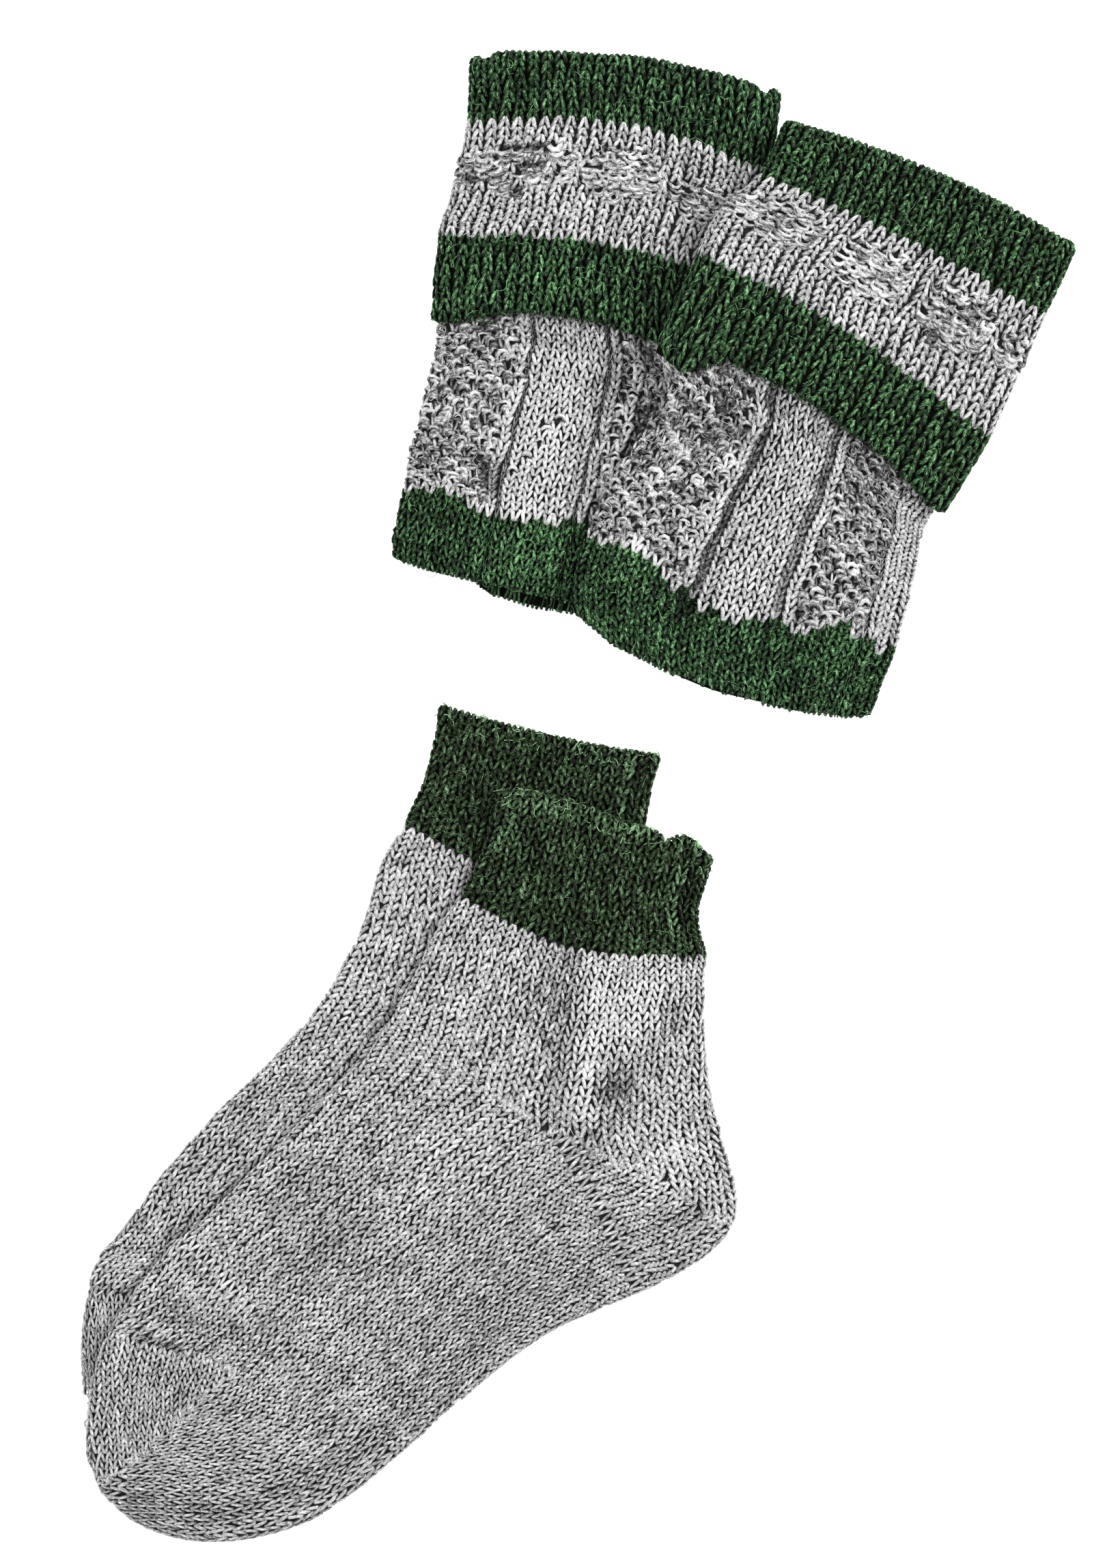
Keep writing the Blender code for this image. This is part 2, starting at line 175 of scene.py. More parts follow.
def yarn_material(name, stops, sheen, nap):
    """Heather wool yarn: twisted fibres of mixed shades, a soft nap, and painted shade where a
    strand dips at its sides and ends.
    """
    material, tree, shader = new_material(name, 0.85, 0.06)
    along, around = attribute(tree, "along"), attribute(tree, "around")
    twist = math_node(tree, "ADD", around, math_node(tree, "MULTIPLY", along, 0.35))
    strand = tree.nodes.new("ShaderNodeCombineXYZ")
    tree.links.new(math_node(tree, "MULTIPLY", along, 5.0), strand.inputs["X"])
    tree.links.new(math_node(tree, "MULTIPLY", twist, 20.0), strand.inputs["Y"])
    tree.links.new(attribute(tree, "seed"), strand.inputs["Z"])
    fibre = noise(tree, strand.outputs["Vector"], 1.0, 4, 0.65)
    heather = noise(tree, object_position(tree), 700, 4, 0.7)
    mixed = math_node(tree, "ADD", scaled(tree, fibre, 0.5, 2.6),
                      scaled(tree, heather, 0.5, 1.2))
    # Painted shade: a strand is darker down its sides and towards its ends, as its crest falls
    mixed = math_node(tree, "ADD", mixed, scaled(tree, attribute(tree, "crest"), 1.0, 0.95))
    # tone holds each stitch's own shade of yarn plus painted shade in hollows, grooves and beside
    # covers, and painted light on ridges and edges
    mixed = math_node(tree, "ADD", mixed, math_node(tree, "ADD", attribute(tree, "tone"), 0.5))
    tree.links.new(ramp(tree, mixed, stops), shader.inputs["Base Color"])
    set_inputs(shader, {"Sheen Weight": sheen, "Sheen Tint": (*nap, 1), "Sheen Roughness": 0.5})
    height = math_node(tree, "ADD", fibre, math_node(tree, "MULTIPLY", heather, 0.5))
    add_bump(tree, shader, height, 0.00022)
    return material


def cloth_material(name, deep, lit):
    """The ground between the stitches, near black: painted shade for the shadowed yarn seen in
    the gaps.
    """
    material, tree, shader = new_material(name, 0.95, 0.05)
    grain = noise(tree, object_position(tree), 1500, 5, 0.7)
    colour = ramp(tree, grain, [(0.3, deep), (0.75, lit)])
    tree.links.new(colour, shader.inputs["Base Color"])
    add_bump(tree, shader, grain, 0.0003)
    return material


def floor_material():
    """White acrylic lit from behind, as under a product shot that is to be cut out."""
    material, tree, shader = new_material("pale_floor", 0.9, 0.5)
    grain = tree.nodes.new("ShaderNodeTexNoise")
    set_inputs(grain, {"Scale": 3, "Detail": 2})
    colour = ramp(tree, grain.outputs["Fac"], [(0.0, (0.90,) * 3), (1.0, (0.94,) * 3)])
    tree.links.new(colour, shader.inputs["Base Color"])
    set_inputs(shader, {"Emission Color": (1, 1, 1, 1), "Emission Strength": 0.75})
    return material


# ---------------------------------------------------------------- garment tables, in mm

WALL, SLOT = 2.2, 1.0               # a tube's cloth, and the hollow between its two layers
SEAM_SHOWN = 0.03                   # a cloth ends this far from its seam's line
LAYER_GAP, STACK_GAP = 1.1, 0.5     # inside a turned top, and between stacked garments
INNER_HALF = SLOT / 2
TUBE_HALF = INNER_HALF + WALL
TURN_INNER_HALF = TUBE_HALF + LAYER_GAP
TURN_HALF = TURN_INNER_HALF + WALL
TURN_LIFT = TURN_HALF - TUBE_HALF
BEND_REACH, RIM = 2.4, 0.7          # a turned fold and a free edge start to roll this far inside
FREE_INSET = 1.2                    # a shell's face stops this far short of a free edge
SKIN = 0.55                         # the shell's face lies this deep below the cloth's face
# A garment comes down beside what it lies on over this distance
SOCK_REACH, WARMER_REACH, TURN_REACH = 15.0, 40.0, 14.0
CROWN_OVER, CROWN_UNDER, EDGE_BLEND = 1.3, 0.6, 12.0    # a tube's bulge, reached over this width
FOLD_SHADING, RIB_SHADING = 0.07, 0.08    # painted shade in hollows and painted light on ridges, per mm of height
COVER_SHADE, COVER_REACH = 0.14, 2.5    # the shade beside a garment that lies over this one
COVER_MARGIN = 12.0                 # stitches go on this far under a cover
SIDE_REACH = 0.6                    # they go on this far past the middle of a tube's side
SIDE_STRIP = 2.5                    # those this near to the side line stay even when covered
UNDERSIDE_LIFT = -1.05              # stitches underneath are sunk by this, to lie on the surface
ROUND_START, ROUND_OVER = 0.3, 2.2  # round the sides that eases off, over this distance
FACE_TURN, HEM_TURN = 0.95, 2.4     # they go round a free end by this share of its roll
HAIR_FLOOR = 0.1                    # no hair goes lower

# A fold's tone is painted shade along a hollow or painted light along a ridge or edge
Fold = namedtuple("Fold", "x0 y0 x1 y1 half_width height tone", defaults=(None,))
# An edge's wave: the row it is strongest at, how many rows it fades over, place and half width
# as shares of the breadth, and the shift down the tube
Wave = namedtuple("Wave", "row fade share half_width shift")

# Sections down each tube: left x, left y, right x, right y, bow
SOCK_OVER = [
    (-27, 1.5, 45, -18.5, -1), (-32, -17, 39, -40.5, 1), (-40, -34, 41.5, -54.5, 7),
    (-49, -48, 41, -66, 6), (-58, -66, 41, -84, 3), (-70, -86, 43, -101, 0),
    (-81, -98, 48, -119, 0), (-92, -109, 52, -135, 0), (-98, -115, 49, -147, 0),
    (-103, -121, 34.5, -159, 0), (-109, -126, 11.5, -169.5, 0), (-118, -135, -8.5, -178.5, 0),
    (-127, -144, -27, -191.5, 0), (-137, -152, -47, -209, 0), (-146, -162, -67, -226.5, 0),
    (-152, -171, -87.5, -242, 0), (-158, -181, -109.5, -249.5, 0), (-162, -192, -130, -250.5, 0),
    (-164, -206, -146.5, -245.5, 0), (-164.5, -219, -158, -236, 0),
]
SOCK_UNDER = [
    (-47.5, 30, 26.5, 13, 1.5), (-51, 10, 21.5, -8, 2), (-59, -10, 23, -30, 7),
    (-67, -24, 26, -42, 6), (-73.5, -45, 26, -61, 3), (-87, -70, 27, -75, 0),
    (-97, -83, 32, -93, 0), (-106.5, -93, 38, -109, 0), (-113, -99, 37, -120, 0),
    (-118, -104, 22, -132, 0), (-124, -109.5, 0, -145, 0), (-132.5, -119, -18, -155, 0),
    (-142, -130, -35, -167, 0), (-149.5, -140.5, -54, -184, 0), (-156, -149, -74, -204, 0),
    (-162, -156, -94, -219, 0), (-165, -167, -116, -228, 0), (-166.5, -181, -135, -230, 0),
    (-166.5, -197, -150, -226, 0), (-166, -209.5, -159, -219, 0),
]
CUFF_ROW, TOE_ROW = 2, 19

TOP_OVER = [
    (69, 227, 167, 185, -4), (60, 208, 156, 161.5, -2), (46, 195, 145.5, 139, -3),
    (40, 182, 137.5, 121, -4), (26, 152, 122, 95, -9),
]
TOP_UNDER = [
    (-37.5, 248.5, 67.5, 237.5, -6.5), (-38, 227, 63.5, 210, -7), (-44, 200.5, 59, 191, -6),
    (-47.5, 189, 55.5, 173, -5), (-50.5, 160, 53, 142, -9),
]
BAND_TOP_ROW, BAND_LOW_ROW, EDGE_ROW = 1, 3, 4
LEG_OVER = [
    (31, 139, 114.5, 91, -7), (23, 125, 113.5, 83, -3), (11, 106, 111, 70, 2),
    (1, 84, 105, 48, 6), (-2, 70, 100, 35, 8), (-1, 60, 97, 27, 9),
]
LEG_UNDER = [
    (-48.5, 153, 51, 135, -6), (-51.5, 139, 49, 122, -4), (-56.5, 119, 43, 100, -3),
    (-59.5, 104, 38, 76, -1), (-63, 87, 34, 65, 0), (-63, 80, 31, 57, 0),
]
LEG_TOP_ROW, HEM_ROW, HEM_END_ROW = 0.5, 8, 10

# Rows of Fold, for the top layers; their tones are painted shade in the hollows and painted
# light on the ridges and along some edges. The CAD model has the main ones, most of the socks'
# and the notch of the left leg shallower and some of them a few millimetres away
FOLDS_SOCK_OVER = [
    (-7, -54, -8, -109, 5.5, -2.6, -0.17), (6, -62, -1, -104, 8, 2.6),
    (26, -66, 20, -84, 10, 1.6, 0.20), (38, -71, 11, -98, 6, -2.0, -0.22),
    (11, -98, 4, -121, 5, -1.3, -0.16), (32, -120, 24, -133, 10, 1.4),
    (31, -146, 49, -146, 5, -1.2), (-34, -58, -48, -82, 6, 0.9), (-40, -120, -75, -150, 12, 1.1),
    (-66, -128, -104, -176, 9, -0.8), (-120, -190, -95, -222, 12, 0.6),
    (-124, -166, -88, -175, 7, 0.9, 0.08), (-97, -132, -76, -155, 10, -0.8, -0.07),
    (-86, -182, -66, -212, 8, 0.8, 0.05), (-137, -176, -111, -186, 6, -0.7, -0.07),
    (-134, -195, -128, -206, 6, -0.5, -0.06), (-70, -88, -88, -109, 1.8, 0.4, 0.22),
    (-91, -112, -115, -135.5, 1.8, 0.4, 0.26), (-118, -138, -134, -153, 1.8, 0.4, 0.26),
    (-137, -156, -149, -170, 1.8, 0.4, 0.24), (-151, -173, -159, -191, 1.8, 0.4, 0.20),
    (37.4, -20, 33.8, -49, 1.5, -1.9, -0.24), (-24, -0.5, 30, -15.5, 1.8, 0.3, 0.22),
    (-21.5, -4, -27, -18, 1.6, 0.3, 0.20), (41.6, -14, 38.6, -49, 1.8, 1.6, 0.55),
    (33.6, -26, 30.8, -47, 1.6, 1.0, 0.22),
]
FOLDS_SOCK_UNDER = [
    (-66, -50, -82, -76, 5, 0.9), (-150, -156, -160, -180, 6, 0.8),
    (20.7, 11, 17.9, -9, 1.3, -1.7, -0.28), (23.2, 10, 20.4, -9, 1.4, 1.2, 0.38),
    (17.6, 12, 15.6, -8, 1.6, 1.0, 0.25),
]
FOLDS_LEG_OVER = [
    (34, 124, 14, 84, 11, 0.9, 0.14), (47, 128, 29, 92, 5, -0.8, -0.18),
    (58, 118, 36, 66, 3.5, -0.6, -0.10), (33, 76, 32, 64, 5, -1.0, -0.15),
    (98, 112, 94, 62, 7, -0.5, -0.08), (54, 104, 38, 64, 5, -0.7), (72, 94, 64, 60, 4, -0.5),
    (40, 112, 22, 78, 9, 1.0), (92, 88, 90, 52, 10, 0.9),
]
FOLDS_LEG_UNDER = [
    (-31.5, 113, -31, 103, 3.2, -2.4, -0.5), (12, 150, -2, 96, 5, -0.6, -0.14),
    (-12, 140, -18, 84, 12, 0.9),
]
FOLDS_TOP_OVER = [(30, 146, 50, 168, 6, 1.0), (96, 178, 86, 148, 12, 0.9)]
FOLDS_TOP_UNDER = [(-6, 222, -10, 170, 14, 0.9)]

# Rows of Wave
WAVES_SOCK_OVER = [
    (0, 1.2, 0.16, 0.12, -2.6), (0, 1.2, 0.37, 0.12, -1.2), (0, 0.8, 0.80, 0.035, 2.4),
    (0, 0.7, 1.03, 0.05, 3.6), (0, 0.8, 0.89, 0.05, -1.7),
]
WAVES_TURN_OVER = [
    (4, 0.9, 0.05, 0.07, 6.5), (4, 0.8, 0.17, 0.06, -1.6), (4, 0.8, 0.62, 0.10, 1.0),
]
WAVES_TURN_UNDER = [
    (4, 0.8, 0.25, 0.12, -1.0), (4, 0.8, 0.72, 0.12, 1.0), (0, 0.8, 0.05, 0.07, -1.6),
    (0, 0.8, -0.02, 0.03, 2.5), (0, 0.8, 0.40, 0.12, 1.1), (0, 0.8, 0.72, 0.15, 1.0),
    (0, 0.8, 1.02, 0.04, 3.5),
]
WAVES_LEG_UNDER = [(10, 1.5, 0.15, 0.12, 1.2)]
WAVES_LEG_OVER = [
    (10, 1.5, 0.12, 0.05, 1.5), (10, 1.5, 0.62, 0.10, -0.8), (10, 1.5, 0.95, 0.05, 1.0),
]

# Height of the warmers' ribs across the leg: share of the width, millimetres. The CAD
# model's are fewer and lower
RIBS_OVER = [
    (0, 0), (.08, .1), (.24, .3), (.27, .6), (.305, 1.5), (.335, 1.4), (.35, -.6), (.372, -.6),
    (.39, .5), (.45, 1.2), (.54, 1.2), (.60, .7), (.608, -.5), (.634, -.5), (.642, 1.0),
    (.67, 1.0), (.68, -.2), (.712, .1), (.88, .1), (.905, -.5), (.92, -.5), (.94, .8), (1, .2),
]
RIBS_UNDER = [
    (0, 0), (.05, .1), (.19, .1), (.235, .8), (.27, 1.3), (.295, 1.2), (.303, -.6), (.312, -.6),
    (.32, .8), (.40, 1.4), (.50, 1.3), (.57, .9), (.577, -.5), (.586, -.5), (.592, 1.0),
    (.62, 1.0), (.635, .1), (.655, .1), (.67, .9), (.695, .9), (.71, -.4), (.77, -.5), (.78, .7),
    (.81, .6), (.82, .1), (1, 0),
]
RELIEF_START = 3.6      # the row of a leg where its ribs begin
# How much lower a hem's back layer hangs: share of the breadth, millimetres. The CAD model's
# left one hangs evenly
LEVEL = [(0, 0), (1, 0)]
HEM_DROP_OVER = [(0, .8), (1, .8)]
HEM_DROP_UNDER = [(0, .2), (.28, .3), (.33, 4.6), (.5, 5.2), (.7, 4.0), (1, 3.2)]

# Stitches across each warmer's leg, from its left side line to its right one:
# m moss, k knit, p purl, b big raised knit, w knit bound by wraps, d and D knit in a groove
# with painted shade
CHART_OVER = "mmmmmmmmbDkkkkkkDbmmmmmmdkk"
CHART_UNDER = "mmmmmmmbdkkkkkkkdbmwmmkmmmmm"
NARROW = {"d": 0.45, "D": 1.0}      # these columns' widths, in wales
# Single purl stitches in the plain part of the left leg, in photo pixels
PURL_STEPS = [(820, 610), (800, 630), (790, 650), (765, 670), (750, 690),
              (752, 522), (768, 536), (756, 552)]

# Where the legs' grey ends and the hems' green starts, in photo pixels
HEM_LINE_UNDER = [(560, 708), (600, 712), (640, 718), (680, 735), (740, 758), (800, 762),
                  (850, 766), (900, 790)]
HEM_LINE_OVER = [(830, 776), (858, 785), (900, 795), (945, 810), (965, 835), (1000, 862),
                 (1030, 888), (1080, 903), (1130, 908), (1180, 910), (1240, 915), (1280, 935),
                 (1330, 965)]

# Turned grey bands from the top down: o rough purl, . knit
PLAIN = "....................."
BAND_OVER = [
    PLAIN, PLAIN,
    ".ooo....ooo....ooo...",
    "ooooo..ooooo..ooooo..",
    "ooooo..ooooo..ooooo.o",
    "ooooo..ooooo..ooooo.o",
    "ooooo..ooooo..ooooo.o",
    ".ooo...ooooo..ooooo..",
    "........ooo....ooo...",
    PLAIN, PLAIN, PLAIN,
]
BAND_UNDER = [
    PLAIN, PLAIN, PLAIN,
    ".ooooo...oooo........",
    "ooo..oo.oooooo.......",
    "oo.oo.o.oooooo..oooo.",
    "oo.oo.o.oooooo.oooooo",
    ".oo.oo..oooooo.oooooo",
    "..oo.....oooo...ooooo",
    "................oooo.",
    PLAIN, PLAIN, PLAIN,
]


# ---------------------------------------------------------------- lying tubes

def smooth(x):
    x = np.clip(x, 0.0, 1.0)
    return x * x * (3 - 2 * x)


def unit(vectors, least=1e-9):
    return vectors / np.maximum(np.linalg.norm(vectors, axis=-1, keepdims=True), least)


def lengths_along(line):
    return np.concatenate([[0], np.cumsum(np.linalg.norm(np.diff(line, axis=0), axis=1))])


def cubic(a, b, c, d, t):
    """The smooth curve from b to c, with neighbours a and d."""
    return 0.5 * (2 * b + (c - a) * t + (2 * a - 5 * b + 4 * c - d) * t ** 2
                  + (3 * b - a - 3 * c + d) * t ** 3)


def catmull(values, position):
    """Smooth run through a list of value rows, read at fractional positions."""
    values = np.asarray(values, float)
    position = np.asarray(position, float)
    last = len(values) - 1
    k = np.clip(np.floor(position).astype(int), 0, last - 1)
    t = np.clip((position - k)[..., None], -1, 2)
    b, c = values[k], values[k + 1]
    a = np.where((k > 0)[..., None], values[np.maximum(k - 1, 0)], 2 * b - c)
    d = np.where((k < last - 1)[..., None], values[np.minimum(k + 2, last)], 2 * c - b)
    before, after = b + (c - a) / 2 * t, c + (d - b) / 2 * (t - 1)
    return np.where(t < 0, before, np.where(t > 1, after, cubic(a, b, c, d, t)))


def signed_distance(points, line, ring):
    """Distance to an open line, negative for points inside the ring."""
    starts, ends = line[:-1], line[1:]
    keep = np.linalg.norm(ends - starts, axis=1) > 1e-9
    starts, ends = starts[keep], ends[keep]
    best = np.full(len(points), np.inf)
    for a, b in zip(starts, ends):
        ab = b - a
        t = np.clip((points - a) @ ab / (ab @ ab), 0, 1)
        best = np.minimum(best, np.hypot(*(points - a - t[:, None] * ab).T))
    inside = np.zeros(len(points), bool)
    for (ax, ay), (bx, by) in zip(ring, np.roll(ring, -1, axis=0)):
        if ay == by:
            continue
        spans = (ay > points[:, 1]) != (by > points[:, 1])
        crossing = ax + (points[:, 1] - ay) * (bx - ax) / (by - ay)
        inside ^= spans & (points[:, 0] < crossing)
    return np.where(inside, -best, best)


def outside_of(points, outline):
    """Distance to a closed outline, negative inside it."""
    return signed_distance(points, np.vstack([outline, outline[:1]]), outline)


def nearness(points, fold):
    """1 on a fold's line, fading to 0 beside it."""
    start, end = np.array(fold[0:2], float), np.array(fold[2:4], float)
    along = end - start
    share = np.clip((points - start) @ along / max(along @ along, 1e-9), 0, 1)
    gap = np.linalg.norm(points - start - share[:, None] * along, axis=1)
    return np.exp(-(gap / fold.half_width) ** 2)


def outline_of(table):
    rows = np.array(table, float)
    return np.vstack([rows[:, 0:2], rows[::-1, 2:4]])


class Support:
    """Something under a garment, which rides on it and comes down beside it."""

    SHOULDER = 4.0      # the garment stays up this far past the outline

    def __init__(self, outline, height, reach):
        self.outline, self.height, self.reach = outline, height, reach

    def lift(self, points):
        outside = outside_of(points, self.outline) - self.SHOULDER
        return self.height * (1 - smooth(outside / self.reach))


def crossing_distance(points, line):
    """Distance to a line that runs left to right, negative above it and positive below."""
    best = np.full(len(points), np.inf)
    sign = np.ones(len(points))
    for k, (a, b) in enumerate(zip(line[:-1], line[1:])):
        ab = b - a
        t = (points - a) @ ab / (ab @ ab)
        t = np.clip(t, -50 if k == 0 else 0, 50 if k == len(line) - 2 else 1)
        gap = points - a - t[:, None] * ab
        distance = np.hypot(gap[:, 0], gap[:, 1])
        nearer = distance < best
        side = ab[1] * gap[:, 0] - ab[0] * gap[:, 1]
        sign[nearer] = np.where(side[nearer] >= 0, 1.0, -1.0)
        best = np.minimum(best, distance)
    return best * sign


class End:
    """A free end of a tube, where its face rolls over: a mouth, a hem or a turned fold.

    way is 1 at the lower end and -1 at the upper one. The face starts to turn at a distance
    reach inside the end, on a radius about the half height middle. drop lowers the back, by
    share of the breadth.
    """

    def __init__(self, row, way, reach, middle, radius, drop=LEVEL):
        self.row, self.way, self.reach = row, way, reach
        self.middle, self.radius, self.drop = middle, radius, np.array(drop, float)
        self.grids = {}


class Tube:
    """One flattened tube: its outline, the height of its two layers, and its rounded sides.

    window is the number of rows over which the tube's direction is taken.
    """

    GRID, MARGIN = 1.5, 24      # spacing of the grids, and how far they pass the outline
    BEYOND = 1.5                # rows that the side lines go on past an open end
    ACROSS = 48                 # points over each layer of a ring

    def __init__(self, table, half, supports=(), own=None, folds=(), crown=0.0, toe=False,
                 ribs=LEVEL, relief_start=-1.0, ends=(), waves=(), window=0.05):
        self.table, self.half = np.array(table, float), half
        self.window = window
        self.waves = [Wave(*row) for row in waves]
        self.ribs, self.relief_start = np.array(ribs, float), relief_start
        self.last = len(self.table) - 1
        rows = np.linspace(-self.BEYOND, self.last + (0 if toe else self.BEYOND),
                           24 * self.last)
        left, right, _, _ = self.rows(rows)
        closing = np.vstack([left, right[::-1]])
        outline = np.vstack([left, right])
        self.low = outline.min(axis=0) - self.MARGIN
        count = np.ceil((outline.max(axis=0) + self.MARGIN - self.low) / self.GRID).astype(int)
        xs, ys = (self.low[i] + self.GRID * np.arange(count[i] + 1) for i in (0, 1))
        points = np.stack(np.meshgrid(xs, ys, indexing="ij"), axis=-1).reshape(-1, 2)
        shape = (len(xs), len(ys))
        if toe:
            distance = signed_distance(points, closing, closing)
        else:
            distance = signed_distance(points, left, closing)
            other = signed_distance(points, right, closing)
            distance = np.where(abs(distance) < abs(other), distance, other)
        self.sdf = self._blur(distance.reshape(shape), 1)
        lifts = [s.lift(points) for s in supports]
        floor = np.zeros(len(points))
        if lifts:       # they merge as a smooth maximum
            floor = np.sum([lift ** 6 for lift in lifts], axis=0) ** (1 / 6)
        if own is not None:
            floor = floor + own.lift(points)
        self.floor = self._blur(floor.reshape(shape), 2)
        weight = smooth(-distance / EDGE_BLEND)
        relief, shade = np.zeros(len(points)), np.zeros(len(points))
        for fold in (Fold(*row) for row in folds):
            near = smooth(-distance / (1.4 * fold.half_width)) * nearness(points, fold)
            relief = relief + fold.height * near
            # painted shade in the folds' hollows and painted light on their ridges
            tone = fold.height * FOLD_SHADING if fold.tone is None else fold.tone
            shade = shade + tone * near
        self.shade = shade.reshape(shape)
        self.rise = self._blur((crown * weight + relief).reshape(shape), 1)
        self.ends = ends
        for end in ends:
            for side in (1, -1):
                shares = np.linspace(-0.3, 1.3, 33)
                drop = np.interp(shares, *end.drop.T) if side < 0 else 0.0
                line = self.flat(np.full(33, float(end.row)), shares,
                                 drop - end.way * end.reach)
                end.grids[side] = self._blur(
                    (end.way * crossing_distance(points, line)).reshape(shape), 1)

    @staticmethod
    def _blur(values, times):
        for _ in range(times):
            for axis in (0, 1):
                padded = np.pad(values, [(1, 1) if a == axis else (0, 0) for a in (0, 1)],
                                mode="edge")
                n = values.shape[axis]
                values = (np.take(padded, range(0, n), axis) + 2 * values
                          + np.take(padded, range(2, n + 2), axis)) / 4
        return values

    def rows(self, row):
        """Left and right side lines, bow and direction down the tube, at row numbers."""
        row = np.asarray(row, float)
        values = catmull(self.table, row)
        left, right, bow = values[..., 0:2], values[..., 2:4], values[..., 4]
        across = unit(right - left)
        near = catmull(self.table, row - self.window)
        far = catmull(self.table, row + self.window)
        axis = unit(far[..., 0:2] + far[..., 2:4] - near[..., 0:2] - near[..., 2:4])
        return left + across * self.half, right - across * self.half, bow, axis

    def flat(self, row, share, shift=0.0):
        """Place on the flattened tube; shares 0 and 1 are the side lines."""
        left, right, bow, axis = self.rows(row)
        share = np.asarray(share, float)
        bend = 4 * bow * np.clip(share, 0, 1) * (1 - np.clip(share, 0, 1)) + shift
        for wave in self.waves:
            near = 1 - smooth(abs(np.asarray(row, float) - wave.row) / wave.fade)
            bend = bend + wave.shift * near * np.exp(
                -((share - wave.share) / wave.half_width) ** 2)
        return left + (right - left) * share[..., None] + axis * bend[..., None]

    def rib(self, row, share):
        """Height of the knitted ribs above the cloth's face."""
        height = np.interp(share, self.ribs[:, 0], self.ribs[:, 1])
        return height * smooth(np.asarray(row, float) - self.relief_start)

    def read(self, values, points):
        at = (points - self.low) / self.GRID
        limit = np.array(values.shape) - 1.001
        at = np.clip(at, 0, limit)
        k = at.astype(int)
        f = at - k
        i, j = k[..., 0], k[..., 1]
        u, v = f[..., 0], f[..., 1]
        return ((values[i, j] * (1 - u) + values[i + 1, j] * u) * (1 - v)
                + (values[i, j + 1] * (1 - u) + values[i + 1, j + 1] * u) * v)

    def slope(self, values, points):
        step = self.GRID * 0.7
        dx = self.read(values, points + [step, 0]) - self.read(values, points - [step, 0])
        dy = self.read(values, points + [0, step]) - self.read(values, points - [0, step])
        return np.stack([dx, dy], axis=-1) / (2 * step)

    def direction(self, values, points):
        return unit(self.slope(values, points), 1e-6)

    def place(self, points, side):
        """Flat points rolled on to the cloth's face. side is 1 for the top, -1 underneath.

        Returns the points in 3-D and the outward normals.
        """
        outward = self.direction(self.sdf, points)
        beyond = np.maximum(self.read(self.sdf, points), 0)
        turn = np.minimum(beyond / self.half, math.pi / 2)
        base = points - outward * beyond[..., None]
        local = np.full(base.shape[:-1], float(self.half))
        tip = np.zeros(base.shape[:-1])
        over = np.zeros_like(base)
        for end in self.ends:
            grid = end.grids[side]
            past = np.maximum(self.read(grid, points), 0)
            way = self.direction(grid, points)
            angle = np.minimum(past / end.radius, math.pi)
            extra = past - angle * end.radius
            base = base + way * (end.reach * np.sin(angle) - extra - past)[..., None]
            local = np.where(past > 0, end.middle + end.radius * np.cos(angle), local)
            tip = tip + angle
            over = over + way * np.sin(angle)[..., None]
        height = self.floor if side < 0 else self.floor + self.rise
        lift = self.read(height, base)
        slope = self.slope(height, base)
        sin, cos = np.sin(turn)[..., None], np.cos(turn)[..., None]
        flatwise = outward * sin - slope * cos * side
        normal = unit(np.concatenate([flatwise * np.cos(tip)[..., None] + over,
                                      side * cos * np.cos(tip)[..., None]], axis=-1), 1e-6)
        flat = base + outward * local[..., None] * sin
        z = lift + self.half + side * local * cos[..., 0]
        return np.concatenate([flat, z[..., None]], axis=-1), normal

    def ring(self, row, half, shift=0.0, ribs=False, drop=0.0):
        """A ring round the tube at a half height, as the CAD walls' rings are."""
        shares = np.linspace(0, 1, self.ACROSS)
        row = float(row)
        left, right, _, axis = self.rows(row)
        way = (right - left) / np.linalg.norm(right - left)
        top = self.flat(np.full(self.ACROSS, row), shares, shift)
        hang = np.interp(shares, *self.ends[-1].drop.T) if drop else 0.0 * shares
        low = self.flat(np.full(self.ACROSS, row), shares[::-1], shift + drop * hang[::-1])
        rise = self.read(self.rise, top) + half
        if ribs:
            rise = rise + self.rib(np.full(self.ACROSS, row), shares)
        angles = np.pi * np.arange(1, 6) / 6
        fade = drop * hang[-1] * angles[:, None] / np.pi
        right_side = top[-1] + way * half * np.sin(angles)[:, None] + axis * fade
        left_side = (top[0] - way * half * np.sin(angles)[:, None])[::-1]
        flat = np.vstack([top, right_side, low, left_side])
        height = np.concatenate([rise, half * np.cos(angles), np.full(self.ACROSS, -half),
                                 half * np.cos(angles[::-1])])
        height = height + self.read(self.floor, flat) + self.half
        return np.column_stack([flat, height])

    def rim(self, points):
        """How far the points lie beyond the side lines."""
        return self.read(self.sdf, points)

    def past_ends(self, points, side):
        """How far round a free end the points lie, as a share of the whole turn."""
        share = np.full(points.shape[:-1], -1.0)
        for end in self.ends:
            share = np.maximum(share, self.read(end.grids[side], points)
                               / (math.pi * end.radius))
        return share


# ---------------------------------------------------------------- meshes

